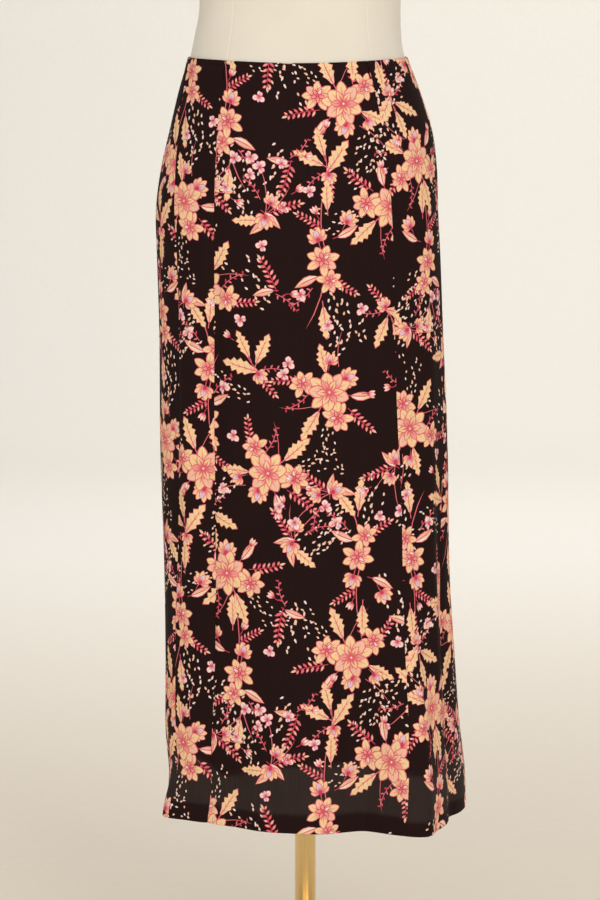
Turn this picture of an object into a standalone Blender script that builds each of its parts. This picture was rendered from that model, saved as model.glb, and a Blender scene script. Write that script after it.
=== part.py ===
"""A long six-panel skirt with a hung lining, on a limbless dress form with a brass pole and a round base.

Metres, +Z up. The pole stands on the Z axis, the base rests on Z = 0, and the skirt's front looks along -Y.
An angle round the skirt is in degrees from the centre front, growing towards +X.
"""

import math
from collections import namedtuple

import bmesh
import bpy

# Driving dimensions of the skirt
AXIS_X = -0.0065
WAIST_HEIGHT = 1.152
WAIST_TILT = 0.013
HEM_HEIGHT = 0.250
CASING_DEPTH = 0.0095
HEM_TURNING = 0.019
TURNING_STEP = 0.0015
CLOTH_WALL = 0.0011
DOUBLED_WALL = 0.0020
SEAM_GAP = 0.0003
GATHER_HEIGHT = 0.0011
GATHER_FADE = 0.050

# Driving dimensions of the lining
LINING_HEM = 0.335
LINING_WALL = 0.0010
LINING_GAP_TOP = 0.0006
LINING_GAP_HEM = 0.0055
LINING_FOLD_SHARE = 0.35
LINING_COLUMNS = 28
LINING_ROWS = 14

# Rows of points that carry a doubled wall, at the waist and at the hem
CASING_ROWS = 2
HEM_ROWS = 2

# Driving dimensions of the form and its stand
FORM_BOTTOM = 0.862
FORM_COLUMNS = 40
FORM_TOUCH = 0.0003
POLE_RADIUS = 0.0125
POLE_SIDES = 32
BASE_RADIUS = 0.210
BASE_THICKNESS = 0.012
BASE_EDGE = 0.003
BOSS_RADIUS = 0.030
BOSS_NECK = 0.018
BOSS_HEIGHT = 0.034
BASE_SIDES = 64

# Colours, and the angle past which an edge is shaded sharp
CLOTH_COLOUR = (0.055, 0.030, 0.028)
LINING_COLOUR = (0.020, 0.016, 0.016)
COVER_COLOUR = (0.82, 0.78, 0.70)
BRASS_COLOUR = (0.62, 0.40, 0.17)
SHARP_ANGLE = 50.0

# Degrees either side of a point over which its wall's direction is read, and the tries at where a seam
# crosses a tilted row
WALL_STEP = 0.25
SEAM_TRIES = 4

# The skirt's plan at each height: half sizes from the axis, how far the plan is turned, and how square it is
Section = namedtuple("Section", "height left right front back turn square")
SECTIONS = (
    Section(1.175, 0.1270, 0.1215, 0.0915, 0.0900, 0.0, 2.10),
    Section(1.151, 0.1320, 0.1262, 0.0955, 0.0950, 0.0, 2.10),
    Section(1.113, 0.1432, 0.1415, 0.1030, 0.1030, 0.0, 2.12),
    Section(1.066, 0.1545, 0.1565, 0.1105, 0.1110, 0.0, 2.15),
    Section(1.019, 0.1652, 0.1626, 0.1155, 0.1170, 0.0, 2.18),
    Section(0.972, 0.1712, 0.1641, 0.1180, 0.1200, 0.0, 2.20),
    Section(0.925, 0.1706, 0.1667, 0.1185, 0.1215, 0.0, 2.20),
    Section(0.830, 0.1684, 0.1708, 0.1160, 0.1220, 1.0, 2.20),
    Section(0.686, 0.1680, 0.1776, 0.1150, 0.1210, 3.0, 2.20),
    Section(0.540, 0.1642, 0.1808, 0.1170, 0.1210, 5.0, 2.20),
    Section(0.440, 0.1634, 0.1874, 0.1210, 0.1230, 7.0, 2.20),
    Section(0.344, 0.1638, 0.1945, 0.1270, 0.1250, 9.0, 2.20),
    Section(0.295, 0.1600, 0.2000, 0.1305, 0.1265, 9.5, 2.20),
    Section(0.250, 0.1630, 0.2020, 0.1340, 0.1280, 10.0, 2.20),
)

# Soft folds: the angle of each at the hem and at the waist, its half width in degrees, its height off the plan,
# and the heights where it dies out above, stands full, and dies out below
Fold = namedtuple("Fold", "hem_angle waist_angle width depth head full foot")
FOLDS = (
    Fold(43.5, 58.0, 8.0, 0.043, 0.640, 0.250, -1.0),
    Fold(55.5, 61.0, 13.0, 0.031, 0.720, 0.250, -1.0),
    Fold(33.0, 46.0, 4.5, -0.006, 0.620, 0.300, -1.0),
    Fold(-42.0, -42.0, 26.0, -0.026, 0.900, 0.250, -1.0),
    Fold(-73.0, -72.0, 7.0, 0.014, 0.330, 0.250, -1.0),
    Fold(-53.0, -47.0, 3.2, -0.0035, 0.930, 0.700, -1.0),
    Fold(-48.0, -43.0, 3.0, -0.0035, 1.060, 0.850, 0.560),
    Fold(-61.0, -58.0, 4.5, 0.0045, 1.040, 0.700, 0.330),
    Fold(66.0, 64.0, 5.0, 0.0050, 0.900, 0.520, 0.260),
    Fold(74.0, 78.0, 4.5, -0.0045, 0.860, 0.480, -1.0),
    Fold(12.0, 8.0, 10.0, 0.0045, 0.620, 0.300, -1.0),
    Fold(112.0, 106.0, 14.0, 0.012, 0.600, 0.250, -1.0),
    Fold(134.0, 132.0, 7.0, -0.006, 0.700, 0.300, -1.0),
    Fold(155.0, 152.0, 11.0, 0.017, 0.640, 0.250, -1.0),
    Fold(177.0, 177.0, 8.0, -0.006, 0.600, 0.300, -1.0),
    Fold(-162.0, -160.0, 11.0, 0.014, 0.560, 0.250, -1.0),
    Fold(-140.0, -140.0, 7.0, -0.007, 0.740, 0.300, -1.0),
    Fold(-116.0, -118.0, 12.0, 0.015, 0.620, 0.250, -1.0),
)

# The angle of each seam at six heights
SEAM_HEIGHTS = (1.152, 0.990, 0.750, 0.620, 0.450, 0.250)
SEAMS = {
    "left_side": (-79.5, -66.0, -64.0, -66.5, -71.5, -70.5),
    "left_front": (-49.0, -45.0, -47.5, -48.5, -50.5, -54.0),
    "right_front": (44.5, 48.0, 51.5, 53.0, 46.0, 40.0),
    "right_side": (86.0, 80.0, 81.0, 78.5, 75.0, 65.0),
    "right_back": (140.0, 139.0, 139.0, 139.0, 138.5, 138.0),
    "left_back": (218.0, 219.0, 219.0, 218.0, 217.5, 217.0),
}

Panel = namedtuple("Panel", "name first second columns gathers")
PANELS = (
    Panel("skirt_front_left", "left_side", "left_front", 12, 3),
    Panel("skirt_front_centre", "left_front", "right_front", 18, 0),
    Panel("skirt_front_right", "right_front", "right_side", 12, 3),
    Panel("skirt_back_right", "right_side", "right_back", 12, 3),
    Panel("skirt_back_centre", "right_back", "left_back", 16, 4),
    Panel("skirt_back_left", "left_back", "left_side", 12, 3),
)

LiningPiece = namedtuple("LiningPiece", "name first second")
LINING = (
    LiningPiece("lining_front", "left_side", "right_side"),
    LiningPiece("lining_back", "right_side", "left_side"),
)

# Rings of the form inside the skirt: the height at the sides, the share of the waist's tilt that the ring
# follows, and how far it lies inside the skirt's plan
Seat = namedtuple("Seat", "height tilt inset")
FORM_SEAT = (
    Seat(1.1720, 1.0, 0.0022),
    Seat(WAIST_HEIGHT, 1.0, 0.0023),
    Seat(1.1425, 1.0, 0.0024),
    Seat(1.1390, 1.0, 0.0042),
    Seat(1.1130, 0.9, 0.0056),
    Seat(1.0660, 0.6, 0.0068),
    Seat(1.0190, 0.3, 0.0078),
    Seat(0.9720, 0.0, 0.0088),
    Seat(0.9250, 0.0, 0.0092),
    Seat(0.8950, 0.0, 0.0110),
    Seat(0.8750, 0.0, 0.0170),
    Seat(FORM_BOTTOM, 0.0, 0.0260),
)

# The form above the skirt
FormSection = namedtuple("FormSection", "height side front back square")
FORM_SECTIONS = (
    FormSection(1.209, 0.1186, 0.0870, 0.0850, 2.10),
    FormSection(1.245, 0.1215, 0.0920, 0.0880, 2.15),
    FormSection(1.300, 0.1330, 0.1060, 0.0950, 2.20),
    FormSection(1.360, 0.1450, 0.1220, 0.1020, 2.25),
    FormSection(1.400, 0.1510, 0.1220, 0.1060, 2.30),
    FormSection(1.450, 0.1590, 0.1080, 0.1090, 2.35),
    FormSection(1.490, 0.1670, 0.0930, 0.1070, 2.30),
    FormSection(1.520, 0.1670, 0.0820, 0.1000, 2.20),
    FormSection(1.542, 0.1540, 0.0750, 0.0920, 2.15),
    FormSection(1.560, 0.1300, 0.0680, 0.0840, 2.10),
    FormSection(1.576, 0.0990, 0.0620, 0.0750, 2.05),
    FormSection(1.592, 0.0730, 0.0570, 0.0660, 2.00),
    FormSection(1.610, 0.0600, 0.0540, 0.0590, 2.00),
    FormSection(1.650, 0.0550, 0.0520, 0.0550, 2.00),
    FormSection(1.657, 0.0520, 0.0490, 0.0520, 2.00),
    FormSection(1.660, 0.0440, 0.0410, 0.0440, 2.00),
)


def smooth_step(value):
    """0 below 0, 1 above 1, and a smooth rise between."""
    value = min(1.0, max(0.0, value))
    return value * value * (3.0 - 2.0 * value)


def curve_through(heights, values, height):
    """A smooth curve through values at falling heights (Catmull-Rom slopes), held flat past both ends."""
    if height >= heights[0]:
        return values[0]
    if height <= heights[-1]:
        return values[-1]
    low = next(i for i in range(1, len(heights)) if height >= heights[i])
    high = low - 1

    def slope(i):
        before, after = max(0, i - 1), min(len(heights) - 1, i + 1)
        return (values[after] - values[before]) / (heights[after] - heights[before])

    span = heights[low] - heights[high]
    t = (height - heights[high]) / span
    rise = values[low] - values[high]
    first, second = slope(high) * span, slope(low) * span
    bend = (first - rise) * (1.0 - t) - (second - rise) * t
    return values[high] + rise * t + t * (1.0 - t) * bend


def plan_radius(angle, left, right, front, back, turn, square):
    """The distance from the axis to a rounded plan with four half sizes."""
    turned = math.radians(angle - turn)
    across, along = math.sin(turned), -math.cos(turned)
    side = right if across > 0.0 else left
    depth = back if along > 0.0 else front
    return (abs(across / side) ** square + abs(along / depth) ** square) ** (-1.0 / square)


def skirt_plan(angle, height):
    """The skirt's plan without its folds."""
    heights = [row.height for row in SECTIONS]
    sizes = [
        curve_through(heights, [getattr(row, field) for row in SECTIONS], height)
        for field in Section._fields[1:]
    ]
    return plan_radius(angle, *sizes)


def turn_between(first, second):
    """The signed difference of two angles in degrees."""
    return (first - second + 180.0) % 360.0 - 180.0


def fold_height(fold, angle, height):
    """How far one fold lifts the cloth off its plan."""
    up = (height - HEM_HEIGHT) / (WAIST_HEIGHT - HEM_HEIGHT)
    middle = fold.hem_angle + (fold.waist_angle - fold.hem_angle) * up
    across = turn_between(angle, middle) / fold.width
    if height > fold.full:
        share = smooth_step((fold.head - height) / (fold.head - fold.full))
    else:
        share = smooth_step((height - fold.foot) / (fold.full - fold.foot)) if fold.foot > 0.0 else 1.0
    return fold.depth * share * math.exp(-across * across)


def folds_at(angle, height, raised_share=1.0):
    """All folds together; raised_share scales those that stand outwards."""
    lifts = [fold_height(fold, angle, height) for fold in FOLDS]
    return sum(lift * raised_share if lift > 0.0 else lift for lift in lifts)


def top_height(angle):
    """The waist edge, which lies lower in front."""
    return WAIST_HEIGHT - WAIST_TILT * math.cos(math.radians(angle))


def seam_angle(seam, height):
    return curve_through(SEAM_HEIGHTS, SEAMS[seam], height)


def gather_height(panel, fraction, drop):
    """The small waves that the drawn-in casing leaves below the waist edge."""
    wave = 0.5 + 0.5 * math.cos(2.0 * math.pi * panel.gathers * fraction)
    return GATHER_HEIGHT * wave * (1.0 - smooth_step(drop / GATHER_FADE)) if panel.gathers else 0.0


def wall_point(radius_at, angle, height, inset):
    """The point of a radius function at an angle, moved square to the wall by inset."""

    def spot(at):
        radius = radius_at(at, height)
        bearing = math.radians(at)
        return AXIS_X + radius * math.sin(bearing), -radius * math.cos(bearing)

    x, y = spot(angle)
    (x0, y0), (x1, y1) = spot(angle - WALL_STEP), spot(angle + WALL_STEP)
    run = math.hypot(x1 - x0, y1 - y0)
    return (x - inset * (y1 - y0) / run, y + inset * (x1 - x0) / run, height)


def skirt_rows(angle):
    """Heights down the skirt: the casing, the plain length, the turned hem."""
    top = top_height(angle)
    start = top - CASING_DEPTH - TURNING_STEP
    casing = [top, top - CASING_DEPTH]
    lined = [start + (LINING_HEM - start) * i / LINING_ROWS for i in range(LINING_ROWS + 1)]
    turned = HEM_HEIGHT + HEM_TURNING
    hem = [(LINING_HEM + turned) / 2.0, turned + TURNING_STEP, turned, HEM_HEIGHT]
    return casing + lined + hem


def seam_spot(seam, row):
    """The angle and height at which a seam crosses a row, which tilts with the waist edge."""
    angle = SEAMS[seam][0]
    for _ in range(SEAM_TRIES):
        height = skirt_rows(angle)[row]
        angle = seam_angle(seam, height)
    return angle, height


def seam_pair(first, second, row):
    """The angles of a piece's two seams on a row, each half a gap short of the seam."""
    (start, start_height), (end, end_height) = seam_spot(first, row), seam_spot(second, row)
    if end < start:
        end += 360.0
    start += math.degrees(SEAM_GAP / 2.0 / skirt_plan(start, start_height))
    end -= math.degrees(SEAM_GAP / 2.0 / skirt_plan(end, end_height))
    return start, end


def shell(name, outer, inner, material):
    """A closed wall from an outer and an inner grid of points with the same rows and columns."""
    work = bmesh.new()
    rows = len(outer)
    columns = len(outer[0])
    out = [[work.verts.new(point) for point in row] for row in outer]
    back = [[work.verts.new(point) for point in row] for row in inner]
    for i in range(rows - 1):
        for j in range(columns - 1):
            work.faces.new((out[i][j], out[i + 1][j], out[i + 1][j + 1], out[i][j + 1]))
            work.faces.new((back[i][j], back[i][j + 1], back[i + 1][j + 1], back[i + 1][j]))
    border = [(0, j) for j in range(columns)] + [(i, columns - 1) for i in range(1, rows)]
    border += [(rows - 1, j) for j in range(columns - 2, -1, -1)] + [(i, 0) for i in range(rows - 2, 0, -1)]
    for (i, j), (k, m) in zip(border, border[1:] + border[:1]):
        work.faces.new((out[i][j], out[k][m], back[k][m], back[i][j]))
    return place(name, work, material)


def turned_solid(name, rings, material):
    """A closed solid from rings of points, top ring first, capped at both ends."""
    work = bmesh.new()
    loops = [[work.verts.new(point) for point in ring] for ring in rings]
    for upper, lower in zip(loops, loops[1:]):
        for i in range(len(upper)):
            j = (i + 1) % len(upper)
            work.faces.new((upper[i], lower[i], lower[j], upper[j]))
    work.faces.new(loops[0])
    work.faces.new(loops[-1][::-1])
    return place(name, work, material)


def place(name, work, material):
    """Turns a bmesh into a named object with its own material."""
    bmesh.ops.recalc_face_normals(work, faces=work.faces[:])
    bmesh.ops.triangulate(work, faces=work.faces[:])
    mesh = bpy.data.meshes.new(name)
    work.to_mesh(mesh)
    work.free()
    mesh.shade_smooth()
    mesh.set_sharp_from_angle(angle=math.radians(SHARP_ANGLE))
    mesh.materials.append(material)
    item = bpy.data.objects.new(name, mesh)
    bpy.context.scene.collection.objects.link(item)
    return item


def finish(name, colour, roughness, metallic=0.0):
    """A Principled material of one colour."""
    material = bpy.data.materials.new(name)
    material.use_nodes = True
    shader = material.node_tree.nodes["Principled BSDF"]
    shader.inputs["Base Color"].default_value = (*colour, 1.0)
    shader.inputs["Roughness"].default_value = roughness
    shader.inputs["Metallic"].default_value = metallic
    return material


def skirt_panel(panel):
    """One cut panel, from its first seam to its second, with a turned casing and hem."""
    row_count = len(skirt_rows(0.0))
    outer, inner = [], []
    for i in range(row_count):
        doubled = i < CASING_ROWS or i >= row_count - HEM_ROWS
        wall = DOUBLED_WALL if doubled else CLOTH_WALL
        start, end = seam_pair(panel.first, panel.second, i)
        out_row, in_row = [], []
        for j in range(panel.columns + 1):
            fraction = j / panel.columns
            angle = start + (end - start) * fraction
            height = skirt_rows(angle)[i]
            lift = gather_height(panel, fraction, top_height(angle) - height)

            def radius_at(at, up):
                return skirt_plan(at, up) + folds_at(at, up)

            out_row.append(wall_point(radius_at, angle, height, -lift))
            in_row.append(wall_point(radius_at, angle, height, wall))
        outer.append(out_row)
        inner.append(in_row)
    return shell(panel.name, outer, inner, finish(panel.name, CLOTH_COLOUR, 0.75))


def lining_piece(piece):
    """Half of the lining, hung from just below the casing."""

    def radius_at(at, up):
        return skirt_plan(at, up) + folds_at(at, up, LINING_FOLD_SHARE)

    outer, inner = [], []
    for i in range(LINING_ROWS + 1):
        share = i / LINING_ROWS
        gap = CLOTH_WALL + LINING_GAP_TOP + (LINING_GAP_HEM - LINING_GAP_TOP) * share * share
        start, end = seam_pair(piece.first, piece.second, i + CASING_ROWS)
        out_row, in_row = [], []
        for j in range(LINING_COLUMNS + 1):
            angle = start + (end - start) * j / LINING_COLUMNS
            height = skirt_rows(angle)[i + CASING_ROWS]
            out_row.append(wall_point(radius_at, angle, height, gap))
            in_row.append(wall_point(radius_at, angle, height, gap + LINING_WALL))
        outer.append(out_row)
        inner.append(in_row)
    return shell(piece.name, outer, inner, finish(piece.name, LINING_COLOUR, 0.6))


def form_ring(radius_at, height, tilt=0.0):
    """A ring of the form, level or tilted with the waist edge."""
    ring = []
    for i in range(FORM_COLUMNS):
        angle = 360.0 * i / FORM_COLUMNS
        bearing = math.radians(angle)
        up = height - WAIST_TILT * tilt * math.cos(bearing)
        radius = radius_at(angle, up)
        ring.append((AXIS_X + radius * math.sin(bearing), -radius * math.cos(bearing), up))
    return ring


def form_torso():
    """The form: inside the skirt it follows the skirt's plan, above it has sections of its own."""
    rings = []
    for row in FORM_SECTIONS[::-1]:
        sizes = (row.side, row.side, row.front, row.back, 0.0, row.square)
        rings.append(form_ring(lambda angle, up, sizes=sizes: plan_radius(angle, *sizes), row.height))
    for seat in FORM_SEAT:
        inset = seat.inset
        rings.append(
            form_ring(lambda angle, up, inset=inset: skirt_plan(angle, up) - inset, seat.height, seat.tilt)
        )
    return turned_solid("form_torso", rings, finish("form_torso", COVER_COLOUR, 0.7))


def round_ring(radius, height, sides):
    return [
        (radius * math.cos(2.0 * math.pi * i / sides), radius * math.sin(2.0 * math.pi * i / sides), height)
        for i in range(sides)
    ]


def stand_pole():
    """The pole, from the base's boss to the form's underside."""
    heights = (FORM_BOTTOM - FORM_TOUCH, BOSS_HEIGHT + FORM_TOUCH)
    rings = [round_ring(POLE_RADIUS, height, POLE_SIDES) for height in heights]
    return turned_solid("stand_pole", rings, finish("stand_pole", BRASS_COLOUR, 0.3, 1.0))


def stand_base():
    """A round plate with an eased rim and a turned boss for the pole."""
    profile = (
        (BOSS_NECK, BOSS_HEIGHT),
        (BOSS_NECK, BASE_THICKNESS + (BOSS_HEIGHT - BASE_THICKNESS) / 3.0),
        (BOSS_RADIUS, BASE_THICKNESS),
        (BASE_RADIUS - BASE_EDGE, BASE_THICKNESS),
        (BASE_RADIUS, BASE_THICKNESS - BASE_EDGE),
        (BASE_RADIUS, 0.0),
    )
    rings = [round_ring(radius, height, BASE_SIDES) for radius, height in profile]
    return turned_solid("stand_base", rings, finish("stand_base", BRASS_COLOUR, 0.35, 1.0))


def main():
    for item in list(bpy.data.objects):
        bpy.data.objects.remove(item, do_unlink=True)
    for panel in PANELS:
        skirt_panel(panel)
    for piece in LINING:
        lining_piece(piece)
    form_torso()
    stand_pole()
    stand_base()


main()
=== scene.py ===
import math
from collections import namedtuple

import bmesh
import bpy
import numpy as np
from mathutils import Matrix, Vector
from mathutils.bvhtree import BVHTree
from mathutils.geometry import delaunay_2d_cdt


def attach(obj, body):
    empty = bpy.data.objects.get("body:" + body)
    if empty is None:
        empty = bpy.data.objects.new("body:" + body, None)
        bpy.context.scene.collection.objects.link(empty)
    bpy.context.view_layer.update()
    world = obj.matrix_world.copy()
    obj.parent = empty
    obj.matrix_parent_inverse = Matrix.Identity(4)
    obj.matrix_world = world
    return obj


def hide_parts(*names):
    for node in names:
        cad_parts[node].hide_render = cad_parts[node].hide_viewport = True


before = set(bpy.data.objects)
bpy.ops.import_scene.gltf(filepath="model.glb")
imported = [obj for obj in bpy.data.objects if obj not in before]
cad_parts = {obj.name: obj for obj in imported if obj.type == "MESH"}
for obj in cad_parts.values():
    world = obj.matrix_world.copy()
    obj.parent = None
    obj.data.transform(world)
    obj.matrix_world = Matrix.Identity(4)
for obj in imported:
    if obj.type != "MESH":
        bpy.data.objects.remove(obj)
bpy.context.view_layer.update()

BODY = "root"
MM = 0.001

# The skirt's sizes, in metres, as the solids have them
AXIS_X = -0.0065
WAIST_HEIGHT = 1.152
WAIST_TILT = 0.013
HEM_HEIGHT = 0.250
CASING_DEPTH = 0.0095
HEM_TURNING = 0.019
LINING_HEM = 0.335
LINING_FOLD_SHARE = 0.35

# Sizes of the fine cloth alone, in metres: panels lap a little at the seams, and turn in at their ends round
# a small radius, and the lining hangs further in towards its hem
SEAM_GAP = -0.0004
CLOTH_THICKNESS = 0.00055
TURN_RADIUS = 0.0006
TURN_RUN = math.pi * TURN_RADIUS
LINING_GAP_TOP = 0.0020
LINING_GAP_HEM = 0.0069
LINING_THICKNESS = 0.0003

# The camera stands at the photograph's height and angle
CAMERA_PLACE = (-0.0065, -2.986, 0.973)
CAMERA_DOWN = 5.5
CAMERA_LENS = 100.0
CAMERA_SENSOR = 36.0
CAMERA_REACH = 50.0

# The skirt's plan at each height: half sizes from the axis, how far the plan is turned, and how square it is
Section = namedtuple("Section", "height left right front back turn square")
SECTIONS = (
    Section(1.175, 0.1270, 0.1215, 0.0915, 0.0900, 0.0, 2.10),
    Section(1.151, 0.1320, 0.1262, 0.0955, 0.0950, 0.0, 2.10),
    Section(1.113, 0.1432, 0.1415, 0.1030, 0.1030, 0.0, 2.12),
    Section(1.066, 0.1545, 0.1565, 0.1105, 0.1110, 0.0, 2.15),
    Section(1.019, 0.1652, 0.1626, 0.1155, 0.1170, 0.0, 2.18),
    Section(0.972, 0.1712, 0.1641, 0.1180, 0.1200, 0.0, 2.20),
    Section(0.925, 0.1706, 0.1667, 0.1185, 0.1215, 0.0, 2.20),
    Section(0.830, 0.1684, 0.1708, 0.1160, 0.1220, 1.0, 2.20),
    Section(0.686, 0.1680, 0.1776, 0.1150, 0.1210, 3.0, 2.20),
    Section(0.540, 0.1642, 0.1808, 0.1170, 0.1210, 5.0, 2.20),
    Section(0.440, 0.1634, 0.1874, 0.1210, 0.1230, 7.0, 2.20),
    Section(0.344, 0.1638, 0.1945, 0.1270, 0.1250, 9.0, 2.20),
    Section(0.295, 0.1600, 0.2000, 0.1305, 0.1265, 9.5, 2.20),
    Section(0.250, 0.1630, 0.2020, 0.1340, 0.1280, 10.0, 2.20),
)

# Soft folds: the angle of each at the hem and at the waist, its half width in degrees, its height off the
# plan, and the heights where it dies out above, stands full, and dies out below
Fold = namedtuple("Fold", "hem_angle waist_angle width depth head full foot")
FOLDS = (
    Fold(43.5, 58.0, 8.0, 0.043, 0.640, 0.250, -1.0),
    Fold(55.5, 61.0, 13.0, 0.031, 0.720, 0.250, -1.0),
    Fold(33.0, 46.0, 4.5, -0.006, 0.620, 0.300, -1.0),
    Fold(-42.0, -42.0, 26.0, -0.026, 0.900, 0.250, -1.0),
    Fold(-73.0, -72.0, 7.0, 0.014, 0.330, 0.250, -1.0),
    Fold(-53.0, -47.0, 3.2, -0.0035, 0.930, 0.700, -1.0),
    Fold(-48.0, -43.0, 3.0, -0.0035, 1.060, 0.850, 0.560),
    Fold(-61.0, -58.0, 4.5, 0.0045, 1.040, 0.700, 0.330),
    Fold(66.0, 64.0, 5.0, 0.0050, 0.900, 0.520, 0.260),
    Fold(74.0, 78.0, 4.5, -0.0045, 0.860, 0.480, -1.0),
    Fold(12.0, 8.0, 10.0, 0.0045, 0.620, 0.300, -1.0),
    Fold(112.0, 106.0, 14.0, 0.012, 0.600, 0.250, -1.0),
    Fold(134.0, 132.0, 7.0, -0.006, 0.700, 0.300, -1.0),
    Fold(155.0, 152.0, 11.0, 0.017, 0.640, 0.250, -1.0),
    Fold(177.0, 177.0, 8.0, -0.006, 0.600, 0.300, -1.0),
    Fold(-162.0, -160.0, 11.0, 0.014, 0.560, 0.250, -1.0),
    Fold(-140.0, -140.0, 7.0, -0.007, 0.740, 0.300, -1.0),
    Fold(-116.0, -118.0, 12.0, 0.015, 0.620, 0.250, -1.0),
)

# Finer creases of the hung cloth, in the same columns
CREASES = (
    Fold(-70.0, -66.0, 4.0, -0.0014, 1.000, 0.820, 0.500),
    Fold(-50.0, -41.0, 3.6, -0.0012, 0.940, 0.780, 0.450),
    Fold(-24.0, -27.0, 5.0, 0.0012, 0.520, 0.330, -1.0),
    Fold(-6.0, -8.0, 5.0, -0.0012, 0.560, 0.320, -1.0),
    Fold(24.0, 27.0, 5.0, -0.0012, 0.560, 0.300, -1.0),
    Fold(49.0, 51.0, 3.4, -0.0012, 1.060, 0.900, 0.640),
    Fold(60.0, 62.0, 3.8, -0.0014, 1.080, 0.880, 0.560),
    Fold(70.0, 70.0, 3.6, 0.0014, 1.000, 0.700, 0.400),
    Fold(96.0, 92.0, 4.4, -0.0016, 0.900, 0.600, -1.0),
    Fold(122.0, 118.0, 4.6, 0.0016, 0.880, 0.560, 0.280),
    Fold(146.0, 143.0, 4.2, -0.0016, 0.980, 0.700, -1.0),
    Fold(168.0, 170.0, 4.6, -0.0015, 0.860, 0.480, -1.0),
    Fold(-171.0, -173.0, 4.4, 0.0014, 0.900, 0.560, 0.300),
    Fold(-150.0, -147.0, 4.2, -0.0016, 0.960, 0.660, -1.0),
    Fold(-128.0, -124.0, 4.4, -0.0014, 0.900, 0.560, -1.0),
    Fold(-100.0, -96.0, 4.2, 0.0014, 0.980, 0.640, 0.340),
    Fold(-86.0, -84.0, 3.8, -0.0015, 1.020, 0.760, 0.420),
)

# The angle of each seam at six heights
SEAM_HEIGHTS = (1.152, 0.990, 0.750, 0.620, 0.450, 0.250)
SEAMS = {
    "left_side": (-79.5, -66.0, -64.0, -66.5, -71.5, -70.5),
    "left_front": (-49.0, -45.0, -47.5, -48.5, -50.5, -54.0),
    "right_front": (44.5, 48.0, 51.5, 53.0, 46.0, 40.0),
    "right_side": (86.0, 80.0, 81.0, 78.5, 75.0, 65.0),
    "right_back": (140.0, 139.0, 139.0, 139.0, 138.5, 138.0),
    "left_back": (218.0, 219.0, 219.0, 218.0, 217.5, 217.0),
}

# Each panel: its seams, the waves gathered into its casing, and where on the cloth it was cut, in millimetres
Panel = namedtuple("Panel", "name first second gathers cloth_x cloth_y")
PANELS = (
    Panel("skirt_front_left", "left_side", "left_front", 3, 40, 210),
    Panel("skirt_front_centre", "left_front", "right_front", 0, 0, 0),
    Panel("skirt_front_right", "right_front", "right_side", 3, 205, 470),
    Panel("skirt_back_right", "right_side", "right_back", 3, 95, 330),
    Panel("skirt_back_centre", "right_back", "left_back", 4, 160, 120),
    Panel("skirt_back_left", "left_back", "left_side", 3, 250, 560),
)

# How walls are worked out: the step in degrees that tells which way one faces, and how often a seam's angle
# is found again from the height that it gives
WALL_STEP = 0.25
SEAM_TRIES = 4

# How the sewing lies on the cloth
GATHER_HEIGHT = 0.0011
GATHER_FADE = 0.050
PUCKER_HEIGHT = 0.0007
PUCKER_FADE = 0.030
PUCKER_WAVES = (61.0, 47.0, 83.0)
SEAM_ROLL = 0.0007
SEAM_ROLL_RUN = 0.0028

# The place of both sides of a flat panel in its own square texture, for materials and for baking
BAKE_SPAN = 0.98
BAKE_MARGIN_X = 0.17
BAKE_MARGIN_Y = 0.022
REVERSE_SHIFT = 0.36

# The place of both faces of a lining half in its own square texture
LINING_SPAN = (0.47, 0.94)
LINING_OUTER_PLACE = (0.01, 0.02)
LINING_INNER_PLACE = (0.51, 0.02)

# Dyes, 0 to 255 as they look in white light, and two colours that hold painted light and painted shade,
# marked below
GROUND = (33, 16, 14)
# Painted light: the ground made paler where light shows through the sheer cloth below the lining
GROUND_PAINTED_SHINE_THROUGH = (50, 39, 35)
GROUND_REVERSE = (58, 42, 38)
YELLOW = (251, 213, 160)
PEACH = (249, 196, 166)
APRICOT = (244, 165, 148)
PALE = (253, 226, 214)
LILAC = (230, 204, 222)
PINK = (233, 112, 120)
ROSE = (208, 66, 90)
SEED = (251, 208, 190)
LINING_TONES = ((17, 14, 14), (30, 26, 26))
COVER_TONES = ((234, 224, 206), (243, 235, 219))
BRASS_TONES = ((226, 192, 130), (240, 212, 154))
THREAD_TONES = ((30, 17, 15), (52, 33, 29))
# Paper: the first tone, on the floor near the form, is deepened with painted shade; the second is the
# backdrop's
PAPER_TONES_PAINTED_FLOOR_SHADE = ((246, 233, 214), (244, 239, 230))

# Over how far the painted light that shows through the cloth fades in below the lining's hem
SHINE_THROUGH_FADE = 0.008


def linear(colour):
    """A colour from 0 to 255 as looked at, turned into the linear values that shading works in."""
    parts = np.asarray(colour, dtype=float) / 255.0
    return np.where(parts <= 0.04045, parts / 12.92, ((parts + 0.055) / 1.055) ** 2.4)


def smooth_step(value):
    value = np.clip(value, 0.0, 1.0)
    return value * value * (3.0 - 2.0 * value)


def wrapped(angle):
    """An angle in degrees, brought within half a turn of 0."""
    return (angle + 180.0) % 360.0 - 180.0


def through(heights, values, at):
    """A smooth curve through values at falling heights (Catmull-Rom slopes), held flat past both ends."""
    up = -np.asarray(heights, dtype=float)
    values = np.asarray(values, dtype=float)
    at = np.clip(-np.asarray(at, dtype=float), up[0], up[-1])
    before = np.maximum(np.arange(len(up)) - 1, 0)
    after = np.minimum(np.arange(len(up)) + 1, len(up) - 1)
    slopes = (values[after] - values[before]) / (up[after] - up[before])
    low = np.clip(np.searchsorted(up, at, side="right") - 1, 0, len(up) - 2)
    span = up[low + 1] - up[low]
    t = (at - up[low]) / span
    rise = values[low + 1] - values[low]
    bend = (slopes[low] * span - rise) * (1.0 - t) - (slopes[low + 1] * span - rise) * t
    return values[low] + rise * t + t * (1.0 - t) * bend


def oval(angle, left, right, front, back, square):
    """The distance from the axis to an oval with a half size of its own on each side."""
    bearing = np.radians(angle)
    across, along = np.sin(bearing), -np.cos(bearing)
    side = np.where(across > 0.0, right, left)
    depth = np.where(along > 0.0, back, front)
    return (np.abs(across / side) ** square + np.abs(along / depth) ** square) ** (-1.0 / square)


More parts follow.
